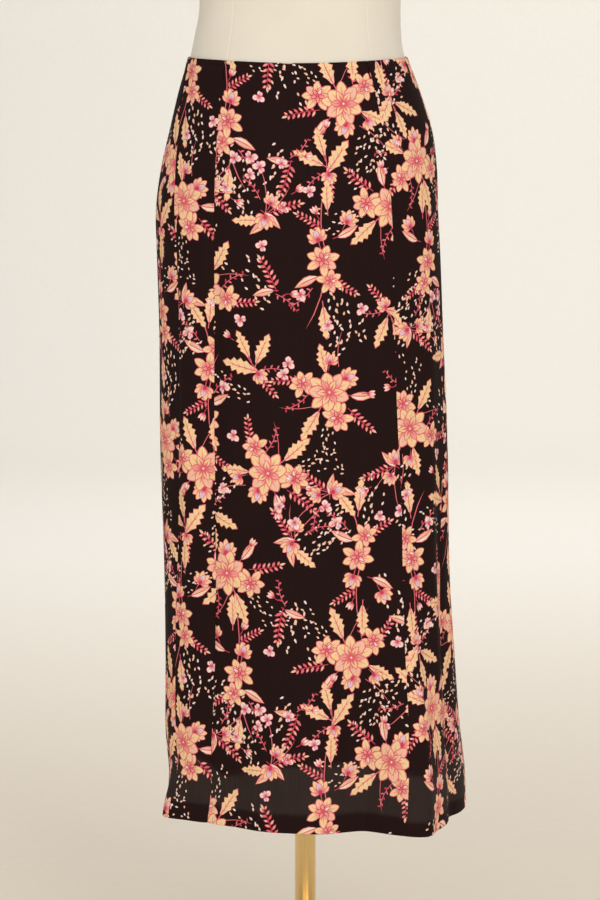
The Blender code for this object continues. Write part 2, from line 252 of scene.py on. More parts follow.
def skirt_plan(angle, height):
    """The distance from the axis to the skirt without its folds."""
    heights = [row.height for row in SECTIONS]
    left, right, front, back, turn, square = (
        through(heights, [getattr(row, field) for row in SECTIONS], height) for field in Section._fields[1:]
    )
    return oval(angle - turn, left, right, front, back, square)


def folds_at(folds, angle, height, raised_share=1.0):
    """How far all folds lift the cloth; raised_share scales those that stand outwards."""
    up = (height - HEM_HEIGHT) / (WAIST_HEIGHT - HEM_HEIGHT)
    total = np.zeros(np.broadcast(angle, height).shape)
    for fold in folds:
        middle = fold.hem_angle + (fold.waist_angle - fold.hem_angle) * up
        across = wrapped(angle - middle) / fold.width
        share = smooth_step((fold.head - height) / (fold.head - fold.full))
        if fold.foot > 0.0:
            fading = smooth_step((height - fold.foot) / (fold.full - fold.foot))
            share = np.where(height > fold.full, share, fading)
        scale = raised_share if fold.depth > 0.0 else 1.0
        total += fold.depth * scale * share * np.exp(-across * across)
    return total


def top_height(angle):
    return WAIST_HEIGHT - WAIST_TILT * np.cos(np.radians(angle))


def level_at(angle, share):
    """The height at a share of the way from the waist edge to the hem."""
    top = top_height(angle)
    return top + (HEM_HEIGHT - top) * share


def seam_angles(seam, share, height_at):
    """The angles of a seam at shares of the way down."""
    angle = np.full(share.shape, SEAMS[seam][0])
    for _ in range(SEAM_TRIES):
        angle = through(SEAM_HEIGHTS, SEAMS[seam], height_at(angle, share))
    return angle


def between_seams(first, second, height_at, rows, columns):
    """Angles in rows from one seam to the next, and the shares of the way down and across."""
    share = np.linspace(0.0, 1.0, rows)[:, None]
    fraction = np.linspace(0.0, 1.0, columns)[None, :]
    start, end = seam_angles(first, share, height_at), seam_angles(second, share, height_at)
    end = np.where(end < start, end + 360.0, end)
    half_gap = np.degrees(SEAM_GAP / 2.0 / skirt_plan(start, height_at(start, share)))
    return start + half_gap + (end - start - 2.0 * half_gap) * fraction, share, fraction


def about_axis(radius, angle):
    """The x and y of points at a distance and an angle from the axis."""
    bearing = np.radians(angle)
    return AXIS_X + radius * np.sin(bearing), -radius * np.cos(bearing)


def ring_points(radius_at, angle, height, inset):
    """Points of a radius function, moved square to the wall by inset."""
    (x, y), (x0, y0), (x1, y1) = (
        about_axis(radius_at(at, height), at) for at in (angle, angle - WALL_STEP, angle + WALL_STEP)
    )
    run = np.hypot(x1 - x0, y1 - y0)
    return np.stack((x - inset * (y1 - y0) / run, y + inset * (x1 - x0) / run, height), axis=-1)


class Sheet:
    """A piece of cloth as a fine grid of points, with rows at even shares of its length and columns at even
    shares of each row's own length, so that a flat pattern can be laid on it without stretching."""

    def __init__(self, grid):
        self.grid = grid
        down = unit(np.gradient(grid, axis=0))
        self.frames = np.concatenate((grid, grid_normals(grid), down), axis=2)
        middle = grid[:, grid.shape[1] // 2]
        steps = np.linalg.norm(np.diff(middle, axis=0), axis=1)
        self.down = np.concatenate(([0.0], np.cumsum(steps)))
        self.widths = np.linalg.norm(np.diff(grid, axis=1), axis=2).sum(axis=1)
        self.length = float(self.down[-1])

    def level(self, v):
        """Where a flat level lies on the hung cloth, which turns in past both its ends."""
        past = np.maximum(np.maximum(-v, v - self.length) - TURN_RUN, 0.0)
        return np.where(v < 0.0, past, np.where(v > self.length, self.length - past, v))

    def width_at(self, v):
        return np.interp(self.level(v), self.down, self.widths)

    def flat_area(self):
        """The flat area of what shows, without the turned ends."""
        return float(((self.widths[1:] + self.widths[:-1]) / 2.0 * np.diff(self.down)).sum())

    def spots(self, x, v):
        """Points and normals of the cloth at x across from its middle line and v down from its top edge."""
        rows, columns = self.grid.shape[:2]
        r = np.interp(self.level(v), self.down, np.arange(rows))
        c = np.clip(x / self.width_at(v) + 0.5, 0.0, 1.0) * (columns - 1)
        i = np.clip(np.floor(r).astype(int), 0, rows - 2)
        j = np.clip(np.floor(c).astype(int), 0, columns - 2)
        a, b = weights(r - i), weights(c - j)
        total = np.zeros((len(r), 9))
        for k in range(4):
            for m in range(4):
                row = np.clip(i + k - 1, 0, rows - 1)
                column = np.clip(j + m - 1, 0, columns - 1)
                total += (a[k] * b[m])[:, None] * self.frames[row, column]
        point, normal, down = total[:, :3], unit(total[:, 3:6]), unit(total[:, 6:])
        past = np.maximum(-v, v - self.length)
        bend = np.clip(past / TURN_RADIUS, 0.0, math.pi)[:, None]
        over = down * np.where(v < 0.0, -1.0, 1.0)[:, None]
        point = point - normal * TURN_RADIUS * (1.0 - np.cos(bend)) + over * TURN_RADIUS * np.sin(bend)
        return point, normal * np.cos(bend) + over * np.sin(bend)


def unit(vectors):
    return vectors / np.linalg.norm(vectors, axis=-1, keepdims=True)


def weights(t):
    """The four Catmull-Rom weights at t."""
    return (
        0.5 * (-t + 2.0 * t**2 - t**3),
        0.5 * (2.0 - 5.0 * t**2 + 3.0 * t**3),
        0.5 * (t + 4.0 * t**2 - 3.0 * t**3),
        0.5 * (t**3 - t**2),
    )


def even_rows(grid):
    """The same rows with their points moved to even shares of the row's length."""
    out = np.empty_like(grid)
    for i, row in enumerate(grid):
        steps = np.linalg.norm(np.diff(row, axis=0), axis=1)
        along = np.concatenate(([0.0], np.cumsum(steps)))
        at = np.linspace(0.0, along[-1], len(row))
        out[i] = np.stack([np.interp(at, along, row[:, k]) for k in range(3)], axis=1)
    return out


def cloth_radius(angle, height):
    return skirt_plan(angle, height) + folds_at(FOLDS, angle, height) + folds_at(CREASES, angle, height)


def panel_sheet(panel, rows=150, columns=97):
    """A panel as it hangs, with its gathers, puckers and rolled seam edges."""
    angle, share, fraction = between_seams(panel.first, panel.second, level_at, rows, columns)
    height = level_at(angle, share)
    drop = top_height(angle) - height
    lift = np.zeros_like(angle)
    if panel.gathers:
        wave = 0.5 + 0.5 * np.cos(2.0 * np.pi * panel.gathers * fraction)
        lift = GATHER_HEIGHT * wave * (1.0 - smooth_step(drop / GATHER_FADE))
        bearing = np.radians(angle)
        ripple = sum(np.sin(n * bearing + n) for n in PUCKER_WAVES) / len(PUCKER_WAVES)
        lift = lift + PUCKER_HEIGHT * ripple * (1.0 - smooth_step(drop / PUCKER_FADE))
    grid = even_rows(ring_points(cloth_radius, angle, height, -lift))
    width = np.linalg.norm(np.diff(grid, axis=1), axis=2).sum(axis=1)[:, None]
    edge = np.minimum(fraction, 1.0 - fraction) * width
    roll = SEAM_ROLL * (1.0 - smooth_step(edge / SEAM_ROLL_RUN))
    return Sheet(grid - grid_normals(grid) * roll[..., None])


def grid_normals(grid):
    return unit(np.cross(np.gradient(grid, axis=0), np.gradient(grid, axis=1)))


# The print is drawn on the flat cloth. A shape is one area of one paint: a colour at its centre, another
# from outer on, and the distances from that centre between which one turns into the other.
Shape = namedtuple("Shape", "points inner outer centre near far")

# Motifs are drawn about 100 long. These are the widths of a petal's inked rim and veins, how far stalks and
# leaves bend or swing from side to side, and how many seeds lie in a drift.
PETAL_RIM = 2.5
PETAL_VEIN = 2.1
SPRIG_BEND = 0.0012
LEAF_BEND = 0.0016
STEM_BOW = 0.0026
TWIGLET_SWING = 9.0
TWIGLET_WAVE = 30.0
SEEDS = 22


def shape(points, inner, outer=None, centre=(0.0, 0.0), near=0.0, far=1.0):
    points, centre = np.asarray(points, dtype=float), np.asarray(centre, dtype=float)
    return Shape(points, inner, outer or inner, centre, near, far)


def anticlockwise(points):
    x, y = points[:, 0], points[:, 1]
    turning = (x * np.roll(y, -1) - y * np.roll(x, -1)).sum()
    return points if turning > 0.0 else points[::-1]


def moved(shapes, x=0.0, y=0.0, turn=0.0, size=1.0, mirror=False):
    """Shapes scaled, mirrored, turned in degrees and moved."""
    bearing = math.radians(turn)
    spin = np.array(((math.cos(bearing), -math.sin(bearing)), (math.sin(bearing), math.cos(bearing))))
    flip = np.array((-1.0 if mirror else 1.0, 1.0))
    out = []
    for item in shapes:
        points = (item.points * flip * size) @ spin.T + (x, y)
        centre = (item.centre * flip * size) @ spin.T + (x, y)
        out.append(item._replace(points=points, centre=centre, near=item.near * size, far=item.far * size))
    return out


def lobe(length, width, profile, at=(0.14, 0.34, 0.55, 0.76, 0.92)):
    """The outline of a petal or a leaf that grows from the origin along +Y."""
    right = [(width / 2.0 * profile(t), length * t) for t in at]
    left = [(-x, y) for x, y in right[::-1]]
    return [(0.0, 0.0)] + right + [(0.0, length)] + left


def full_petal(t):
    """Widest near its tip."""
    return math.sin(math.pi * t**1.25) ** 0.7


def pointed_petal(t):
    return math.sin(math.pi * t**0.82) ** 0.9


def slender(t):
    return math.sin(math.pi * t**0.9)


def line(points, width):
    """A thin strip along a few points, pointed at its end."""
    points = np.asarray(points, dtype=float)
    along = unit(np.gradient(points, axis=0))
    side = np.stack((-along[:, 1], along[:, 0]), axis=1) * width / 2.0
    return np.concatenate((points[:-1] + side[:-1], points[-1:], (points[:-1] - side[:-1])[::-1]))


def disc(radius, corners, x=0.0, y=0.0):
    turns = np.linspace(0.0, 2.0 * math.pi, corners, endpoint=False)
    return np.stack((x + radius * np.cos(turns), y + radius * np.sin(turns)), axis=1)


def petal(length, width, profile, turn, fill, heart, edge, rim=PETAL_RIM, veins=(-0.26, 0.0, 0.26)):
    """A petal with an inked edge, a shaded foot and fine veins."""
    outline = np.asarray(lobe(length, width, profile))
    inside = np.asarray(lobe(length - rim * 1.3, width - rim * 2.0, profile)) + (0.0, rim * 0.5)
    shapes = [shape(outline, edge), shape(inside, heart, fill, near=length * 0.14, far=length * 0.60)]
    for lean in veins:
        across, reach = lean * width, length * (0.82 - abs(lean))
        vein = ((across * 0.24, length * 0.12), (across * 0.80, length * 0.42), (across, reach))
        shapes.append(shape(line(vein, PETAL_VEIN), edge))
    return moved(shapes, turn=turn)


def blossom_large():
    """An open blossom, 100 across: nine long petals, six short ones over them, and a rayed heart."""
    shapes = []
    longs = (51, 45, 49, 43, 50, 46, 52, 44, 47)
    for i in (0, 2, 4, 6, 8, 1, 3, 5, 7):
        fill = PEACH if i in (1, 5, 8) else YELLOW
        wide, turn = 26.0 + 3.0 * (i % 2), 40.0 * i + 4.0 * (i % 3)
        shapes += petal(longs[i], wide, full_petal, turn, fill, PINK, PINK)
    for i in range(6):
        fill = APRICOT if i in (1, 4) else YELLOW
        turn = 60.0 * i + 22.0
        shapes += petal(32.0 - 3.0 * (i % 2), 17.0, pointed_petal, turn, fill, PINK, PINK, veins=(0.0,))
    for i in range(12):
        tip = (0.8, 14.0 + 5.0 * (i % 3))
        shapes += moved([shape(line(((0.0, 2.0), tip), 1.8), ROSE)], turn=30.0 * i)
    return shapes + [shape(disc(5.0, 8), PINK), shape(disc(2.4, 6), PALE)]


def blossom_double():
    """A fuller blossom of narrow petals in two rounds, a little lop-sided."""
    shapes = []
    fan = ((8, 50), (58, 46), (98, 40), (150, 42), (205, 48), (252, 44), (301, 49))
    for i, (turn, long) in enumerate(fan):
        fill = PEACH if i in (2, 5) else YELLOW
        shapes += petal(long, 25.0, full_petal, turn, fill, APRICOT, PINK)
        if i % 2:
            shapes += petal(long - 12.0, 17.0, pointed_petal, turn + 25.0, PEACH, PINK, ROSE, veins=(0.0,))
    for i in range(5):
        fill = PALE if i == 2 else APRICOT
        shapes += petal(23.0, 13.0, pointed_petal, 72.0 * i + 40.0, fill, PINK, ROSE, veins=())
    return shapes + [shape(disc(5.5, 8), ROSE), shape(disc(3.0, 6), PINK)]


def blossom_side():
    """A blossom seen from its side: petals fanned upwards, a lilac one in front, over a cup and a stalk."""
    shapes = [shape(line(((0.0, 2.0), (1.5, -14.0), (0.0, -34.0)), 2.6), PINK)]
    fans = ((-74.0, 34.0, PEACH), (72.0, 36.0, PEACH), (-46.0, 44.0, YELLOW), (44.0, 45.0, YELLOW))
    for turn, long, fill in fans + ((-16.0, 50.0, YELLOW), (17.0, 48.0, YELLOW), (0.0, 38.0, LILAC)):
        shapes += petal(long, 22.0, full_petal, turn, fill, PINK, PINK)
    cup = [(-7.0, 7.0), (-4.5, -5.0), (4.5, -5.0), (7.0, 7.0), (0.0, 13.0)]
    return shapes + [shape(cup, ROSE)]


def blossom_pale():
    """A small pale blossom with two broad wings, a lilac tongue and a rose heart."""
    shapes = []
    for turn, long, wide, fill in (
        (-58.0, 46.0, 40.0, PALE),
        (56.0, 48.0, 40.0, PALE),
        (168.0, 36.0, 28.0, PALE),
        (204.0, 34.0, 26.0, LILAC),
        (0.0, 40.0, 24.0, LILAC),
    ):
        shapes += petal(long, wide, full_petal, turn, fill, PINK, PINK, rim=3.0, veins=(0.0,))
    for turn in (-30.0, 0.0, 28.0):
        shapes += moved([shape(line(((0.0, 0.0), (0.0, 20.0)), 3.0), ROSE)], turn=turn)
    return shapes + [shape(disc(6.0, 7), ROSE)]


def bud():
    """A closed bud on a short stalk: pale petals folded over each other."""
    shapes = [shape(line(((0.0, -36.0), (3.0, -14.0), (0.0, 2.0)), 4.5), ROSE)]
    for turn, fill in ((-26.0, PALE), (24.0, PEACH), (0.0, PALE)):
        shapes += petal(50.0, 25.0, pointed_petal, turn, fill, PINK, PINK, rim=3.2, veins=())
    cup = [(-9.0, 10.0), (-5.0, -4.0), (5.0, -4.0), (9.0, 10.0), (3.0, 6.0), (0.0, 15.0), (-3.0, 6.0)]
    return shapes + [shape(cup, ROSE)]


def toothed(half_width, teeth, length, lean):
    """One side of a toothed leaf, from its foot to its tip."""
    side = []
    for i in range(teeth):
        t = (i + 0.4) / (teeth + 0.4)
        wide = half_width * math.sin(math.pi * (0.05 + 0.9 * t) ** 0.85) ** 1.25
        side += [(wide * 0.62, length * (t - 0.02)), (wide, length * (t + lean / teeth))]
    return side


def leaf_toothed():
    """A broad toothed leaf with an inked edge, a midrib and side veins."""
    shapes = []
    for rim, paint, other in ((0.0, PINK, PINK), (2.1, PEACH, YELLOW)):
        right = toothed(24.0 - rim, 5, 97.0 - rim, 0.46)
        left = [(-x * 0.9, y + 4.0) for x, y in toothed(24.0 - rim, 5, 95.0 - rim, 0.40)[::-1]]
        points = [(0.0, rim)] + right + [(1.5, 103.0 - rim * 2.2)] + left
        shapes.append(shape(points, paint, other, near=6.0, far=40.0))
    shapes.append(shape(line(((0.0, -16.0), (1.5, 20.0), (2.0, 55.0), (0.5, 92.0)), 3.0), PINK))
    for i in range(4):
        y = 12.0 + 17.0 * i
        shapes.append(shape(line(((1.0, y), (14.0 - 2.2 * i, y + 14.0)), 1.9), PINK))
        shapes.append(shape(line(((1.0, y + 5.0), (-12.0 + 2.0 * i, y + 18.0)), 1.9), PINK))
    return shapes


def leaf_plain():
    """A slender bent leaf in two tones, split by its midrib."""

    def bent(points):
        return points + np.stack((LEAF_BEND * points[:, 1] ** 2, np.zeros(len(points))), axis=1)

    at = (0.12, 0.32, 0.55, 0.8)
    outline = np.asarray(lobe(100.0, 36.0, slender, at))
    inside = np.asarray(lobe(93.0, 29.0, slender, at)) + (0.0, 3.0)
    half = inside.copy()
    half[:, 0] = np.maximum(half[:, 0], 0.0)
    rib = [(LEAF_BEND * y * y, y) for y in (-18.0, 25.0, 60.0, 92.0)]
    return [
        shape(bent(outline), PINK),
        shape(bent(inside), PALE, YELLOW, near=20.0, far=80.0),
        shape(bent(half), PEACH, APRICOT, near=20.0, far=90.0),
        shape(line(rib, 3.2), ROSE),
    ]


def leaflet(long, wide, paint, other=None, **fade):
    """A small slender leaf of one paint."""
    return shape(lobe(long, wide, slender, (0.3, 0.65)), paint, other, **fade)


def sprig():
    """A bent stalk with leaflets in pairs, each clear of the next, and one at its tip."""
    rib = [(SPRIG_BEND * y * y, y) for y in (0.0, 30.0, 62.0, 92.0)]
    shapes = [shape(line(rib, 2.2), ROSE)]
    for i in range(6):
        y = 12.0 + 14.5 * i
        long = 21.0 - 1.3 * i
        for turn in (-56.0, 53.0):
            fill = (PEACH, PINK, APRICOT)[(i + (turn > 0.0)) % 3]
            edge = leaflet(long, 8.4, ROSE if i % 2 else PINK)
            inside = leaflet(long - 4.6, 5.0, PINK, fill, near=1.0, far=7.0)
            inside = inside._replace(points=inside.points + (0.0, 2.4))
            place = (SPRIG_BEND * y * y, y + (4.0 if turn > 0.0 else 0.0))
            shapes += moved([edge, inside], *place, turn=turn - 0.13 * y)
    return shapes + moved([leaflet(18.0, 7.4, PEACH)], x=10.5, y=90.0, turn=-14.0)


def twiglet():
    """A finer stalk with single leaflets turn about."""
    rib = [(TWIGLET_SWING * math.sin(y / TWIGLET_WAVE), y) for y in (0.0, 25.0, 50.0, 75.0, 96.0)]
    shapes = [shape(line(rib, 2.4), PINK)]
    for i in range(8):
        y = 8.0 + 11.5 * i
        leaf = leaflet(17.0 - 0.6 * i, 6.6, ROSE if i % 3 == 1 else PINK)
        shapes += moved([leaf], TWIGLET_SWING * math.sin(y / TWIGLET_WAVE), y, turn=-58.0 if i % 2 else 56.0)
    return shapes


def seeds():
    """Loose pale seeds strewn in a drift that widens as it goes."""
    draw = np.random.default_rng(11)
    shapes = []
    for i in range(SEEDS):
        along = (i + draw.uniform(0.0, 0.8)) / SEEDS
        spread = 14.0 + 26.0 * along
        outline = lobe(draw.uniform(7.5, 10.5), 4.6, pointed_petal, (0.3, 0.72))
        drop = shape(outline, (PALE, SEED, PEACH)[i % 3])
        place = (44.0 * (along - 0.45) ** 2 + draw.uniform(-spread, spread), 112.0 * along)
        shapes += moved([drop], *place, turn=draw.uniform(-40.0, 40.0))
    return shapes


def stem():
    """A thin bowed stalk, 100 long."""
    rib = [(STEM_BOW * y * (100.0 - y), y) for y in (0.0, 20.0, 45.0, 75.0, 100.0)]
    return [shape(line(rib, 1.7), PINK)]


MOTIFS = {
    "large": blossom_large,
    "double": blossom_double,
    "side": blossom_side,
    "pale": blossom_pale,
    "bud": bud,
    "toothed": leaf_toothed,
    "plain": leaf_plain,
    "sprig": sprig,
    "twiglet": twiglet,
    "seeds": seeds,
    "stem": stem,
}

# Groups of motifs, in the order they are painted: where each lies in the group in millimetres, its turn in
# degrees, and its length in millimetres
Place = namedtuple("Place", "motif x y turn long")
GROUPS = {
    "bouquet": (
        Place("stem", -8, -16, 200, 48),
        Place("stem", 22, 22, -60, 44),
        Place("sprig", -26, 12, 74, 42),
        Place("sprig", 24, -22, -150, 38),
        Place("twiglet", 8, -24, 172, 34),
        Place("seeds", 34, 14, -30, 58),
        Place("seeds", -30, -16, 120, 46),
        Place("toothed", -14, -20, 146, 40),
        Place("toothed", 22, 6, -78, 34),
        Place("plain", -14, 20, 34, 30),
        Place("double", -31, -4, 20, 40),
        Place("double", 22, -24, 130, 36),
        Place("side", 6, 22, 6, 36),
        Place("side", 30, 14, -58, 28),
        Place("pale", 50, -30, 0, 19),
        Place("bud", -22, 40, 30, 20),
        Place("large", 0, 0, 0, 54),
    ),
    "garland": (
        Place("stem", 2, 8, 6, 74),
        Place("stem", -2, -10, 168, 70),
        Place("seeds", 14, 30, -24, 60),
        Place("sprig", 10, 18, -62, 38),
        Place("sprig", -10, -34, 116, 36),
        Place("twiglet", -8, 34, 40, 36),
        Place("plain", -4, 20, 62, 30),
        Place("plain", 8, -28, -120, 28),
        Place("toothed", 8, 52, -18, 38),
        Place("toothed", -8, -56, 168, 36),
        Place("pale", -20, 44, 20, 20),
        Place("pale", 18, 72, -10, 18),
        Place("bud", -20, -50, 140, 20),
        Place("side", -12, -20, 150, 34),
        Place("side", 16, -46, 200, 32),
        Place("double", 10, 22, 80, 34),
        Place("double", -3, 0, 40, 42),
    ),
    "spray": (
        Place("stem", 0, 0, 12, 56),
        Place("stem", 0, 2, -34, 44),
        Place("seeds", -22, -4, 26, 54),
        Place("sprig", 4, 4, -58, 40),
        Place("twiglet", -8, 18, 48, 34),
        Place("plain", 2, -2, 150, 28),
        Place("plain", -2, 4, -118, 26),
        Place("toothed", -4, -6, 100, 34),
        Place("pale", -12, 54, 30, 20),
        Place("pale", 12, 62, 0, 17),
        Place("bud", 32, 34, -50, 20),
        Place("side", 0, 0, 176, 34),
        Place("side", 4, 14, -20, 28),
    ),
    "twig": (
        Place("sprig", 0, 0, 0, 44),
        Place("twiglet", 2, -2, 150, 34),
        Place("seeds", 14, -14, -10, 60),
        Place("bud", -14, -8, 108, 19),
        Place("pale", -2, 54, 0, 18),
        Place("plain", 2, 2, -75, 26),
    ),
    "leaves": (
        Place("stem", 0, 0, 0, 50),
        Place("seeds", 22, -22, -40, 50),
        Place("toothed", 0, 0, -46, 44),
        Place("toothed", -2, 8, 54, 38),
        Place("toothed", 1, 18, 4, 34),
        Place("sprig", 2, 2, 178, 38),
        Place("twiglet", 0, 0, 118, 34),
        Place("bud", 10, 50, -24, 19),
        Place("pale", -24, -18, 0, 19),
        Place("side", 2, -2, 168, 28),
    ),
}

# One repeat of the cloth, in millimetres, and the groups on it; every group comes again turned half round.
# A group reaches no further from its middle than the reach, in metres.
REPEAT_WIDTH = 300.0
REPEAT_HEIGHT = 640.0
GROUP_REACH = 0.07
Cluster = namedtuple("Cluster", "group x y turn mirror")
CLUSTERS = (
    Cluster("bouquet", 52, 48, 12, False),
    Cluster("twig", 122, 12, 196, False),
    Cluster("garland", 212, 70, 348, True),
    Cluster("spray", 132, 88, 30, False),
    Cluster("leaves", 28, 126, 170, True),
    Cluster("bouquet", 104, 168, 196, True),
    Cluster("twig", 288, 112, 14, True),
    Cluster("garland", 24, 226, 12, False),
    Cluster("spray", 256, 176, 188, True),
    Cluster("bouquet", 178, 262, 66, False),
    Cluster("leaves", 96, 286, 330, False),
    Cluster("twig", 268, 262, 160, False),
    Cluster("spray", 178, 146, 244, True),
)


def cloth_print(panel, sheet):
    """The shapes that fall on a panel, in metres, x across from its middle line and y down from its top."""
    drawn = {name: make() for name, make in MOTIFS.items()}
    half = sheet.widths.max() / 2.0
    low, high = -CASING_DEPTH, sheet.length + HEM_TURNING
    shapes = []
    groups = list(CLUSTERS)
    for item in CLUSTERS:
        x, y = (item.x + REPEAT_WIDTH / 2.0) % REPEAT_WIDTH, REPEAT_HEIGHT - item.y
        groups.append(item._replace(x=x, y=y, turn=item.turn + 180))
    for item in groups:
        for column in range(-2, 3):
            for row in range(-2, 4):
                x = item.x + REPEAT_WIDTH * column - panel.cloth_x
                y = item.y + REPEAT_HEIGHT * row - panel.cloth_y
                if abs(x) * MM > half + GROUP_REACH:
                    continue
                if not low - GROUP_REACH < y * MM < high + GROUP_REACH:
                    continue
                for place in GROUPS[item.group]:
                    size = place.long / 100.0
                    piece = moved(drawn[place.motif], place.x, place.y, place.turn, size)
                    shapes += moved(piece, x * MM, y * MM, item.turn, MM, item.mirror)
    kept = []
    for item in shapes:
        near = np.abs(item.points[:, 0]).min() < half
        if near and item.points[:, 1].max() > low and item.points[:, 1].min() < high:
            kept.append(item._replace(points=anticlockwise(item.points)))
    return kept


# Each tile of a flat panel is cut into triangles on its own, and all share the points of their borders. In
# metres: the tile's size, how far apart points lie and how near two points are taken for one. Points of one
# row are staggered against the next by a share of their step.
TILE = 0.045
POINT_STEP = 0.0055
WAIST_STEP = 0.0035
STAGGER = 0.25
WELD = 0.0000004
CUT_NEAR = 0.0000001


def row_bands(sheet):
    """The flat levels of each row of tiles."""
    plain_end = sheet.length - HEM_TURNING
    marks = [-CASING_DEPTH, -TURN_RUN, -TURN_RUN / 2.0, 0.0]
    count = int(math.ceil(plain_end / TILE))
    marks += [plain_end * i / count for i in range(1, count + 1)]
    marks += [sheet.length + run for run in (0.0, TURN_RUN / 2.0, TURN_RUN, HEM_TURNING)]
    bands = []
    for low, high in zip(marks, marks[1:]):
        step = WAIST_STEP if low < TILE else POINT_STEP
        bands.append(np.linspace(low, high, max(1, int(math.ceil((high - low) / step))) + 1))
    return bands


def cut_print(sheet, shapes):
    """Triangles of a flat panel that follow what shows of its print, and the shape on each, or -1."""
    boxes = np.array([(*item.points.min(axis=0), *item.points.max(axis=0)) for item in shapes])
    width = float(sheet.widths.max())
    columns = int(math.ceil(width / TILE))
    steps = int(math.ceil(width / columns / POINT_STEP))
    vertices, corners, tops, base = [], [], [], 0
    for levels in row_bands(sheet):
        across = {v: float(sheet.width_at(v)) for v in levels}
        for column in range(columns):
            shares = [(column + i / steps) / columns - 0.5 for i in range(steps + 1)]
            left = [(across[v] * shares[0], v) for v in levels]
            right = [(across[v] * shares[-1], v) for v in levels]
            top = [(across[levels[0]] * share, levels[0]) for share in shares[1:-1]]
            bottom = [(across[levels[-1]] * share, levels[-1]) for share in shares[1:-1]]
            border = left[::-1] + top + right + bottom[::-1]
            inside = []
            for i, v in enumerate(levels[1:-1]):
                shift = STAGGER if i % 2 else -STAGGER
                inside += [(across[v] * (share + shift / steps / columns), v) for share in shares[1:-1]]
            low, high = np.min(border, axis=0), np.max(border, axis=0)
            chosen = np.flatnonzero((boxes[:, :2] < high).all(axis=1) & (boxes[:, 2:] > low).all(axis=1))
            flat, faces, owners = cut_tile(border, inside, [shapes[k].points for k in chosen])
            corners += [[base + n for n in face] for face in faces]
            tops += [int(chosen[owner - 1]) if owner else -1 for owner in owners]
            vertices += [tuple(v) for v in flat]
            base += len(flat)
    return np.array(vertices), np.array(corners), np.array(tops)


def cut_tile(border, inside, outlines):
    """Triangles of one tile, and the number of the topmost outline on each, from 1, or 0. Outlines are cut
    into each other first, and only the edges where the topmost one changes stay for the second cut."""
    points = list(border)
    faces = [list(range(len(border)))]
    for outline in outlines:
        faces.append(list(range(len(points), len(points) + len(outline))))
        points += [tuple(p) for p in outline]
    flat, _, pieces, sources, _, origins = delaunay_2d_cdt(points, [], faces, 0, CUT_NEAR, True)
    first = [(face, max(origin)) for face, origin in zip(pieces, origins) if 0 in origin]
    sides = {}
    for (a, b, c), owner in first:
        sides[a, b] = sides[b, c] = sides[c, a] = owner
    edges = [(a, b) for (a, b), owner in sides.items() if a < b and sides.get((b, a), owner) != owner]
    used = {n for edge in edges for n in edge}
    corner = {n for n, group in enumerate(sources) if any(k < len(border) for k in group)}
    rim = [n for n in border_loop(sides) if n in used or n in corner]
    order = rim + sorted(used.difference(rim))
    place = {n: k for k, n in enumerate(order)}
    edges = [(place[a], place[b]) for a, b in edges]
    tree = BVHTree.FromPolygons([(x, y, 0.0) for x, y in flat], [face for face, _ in first])
    points = [tuple(flat[n]) for n in order] + inside
    outline = [list(range(len(rim)))]
    flat, _, pieces, _, _, origins = delaunay_2d_cdt(points, edges, outline, 0, CUT_NEAR, True)
    faces = [face for face, origin in zip(pieces, origins) if origin]
    spots = np.array(flat)[np.array(faces)].mean(axis=1)
    return flat, faces, [first[tree.find_nearest((x, y, 0.0))[2]][1] for x, y in spots]


def weld(vertices, corners, tops):
    """Joins the tiles along their borders and drops what no triangle uses."""
    work = bmesh.new()
    layer = work.faces.layers.int.new("top")
    used = np.unique(corners)
    place = np.full(len(vertices), -1)
    place[used] = np.arange(len(used))
    points = [work.verts.new((x, y, 0.0)) for x, y in vertices[used]]
    for (a, b, c), top in zip(place[corners].tolist(), tops.tolist()):
        face = work.faces.new((points[a], points[b], points[c]))
        face[layer] = top
    rim = [vertex for vertex in work.verts if vertex.is_boundary]
    bmesh.ops.remove_doubles(work, verts=rim, dist=WELD)
    work.verts.index_update()
    flat = np.array([vertex.co[:2] for vertex in work.verts])
    corners = np.array([[v.index for v in face.verts] for face in work.faces])
    tops = np.array([face[layer] for face in work.faces])
    work.free()
    return flat, corners, tops


def border_loop(sides):
    """The longest closed run of edges that only one triangle has, in those triangles' own order."""
    after = {a: b for a, b in sides if (b, a) not in sides}
    loops = []
    while after:
        start, step = after.popitem()
        loop = [start]
        while step != start and step in after:
            loop.append(step)
            step = after.pop(step)
        loops.append(loop)
    return max(loops, key=len)


def shape_colours(shapes, tops, spots):
    """The colour of each triangle's corners, with 1 as the fourth number on the print and 0 on the ground."""
    inner = linear([item.inner for item in shapes])
    outer = linear([item.outer for item in shapes])
    centre = np.array([item.centre for item in shapes])
    near = np.array([item.near for item in shapes])
    far = np.array([item.far for item in shapes])
    reach = np.linalg.norm(spots - centre[tops][:, None, :], axis=2)
    share = smooth_step((reach - near[tops][:, None]) / (far - near)[tops][:, None])[..., None]
    colours = np.ones((len(tops), 3, 4))
    colours[..., :3] = inner[tops][:, None, :] * (1.0 - share) + outer[tops][:, None, :] * share
    return colours


def ground_colours(v, spots, length):
    """The dark ground, made paler by painted light that shows through where the cloth hangs clear of the
    lining and isn't doubled by its hem.
    """
    angle = np.degrees(np.arctan2(spots[..., 0] - AXIS_X, -spots[..., 1]))
    # clear is where painted light shows through the cloth: below the lining's hem and above the hem's turning
    clear = smooth_step((lining_hem(angle) - spots[..., 2]) / SHINE_THROUGH_FADE) * (v < length - HEM_TURNING)
    colours = np.zeros((*v.shape, 4))
    colours[..., :3] = linear(GROUND) * (1.0 - clear[..., None]) + linear(GROUND_PAINTED_SHINE_THROUGH) * clear[..., None]
    return colours


def placed(name, data):
    """An object at the origin that holds a mesh, a curve, a light or a camera."""
    item = bpy.data.objects.new(name, data)
    bpy.context.scene.collection.objects.link(item)
    return item


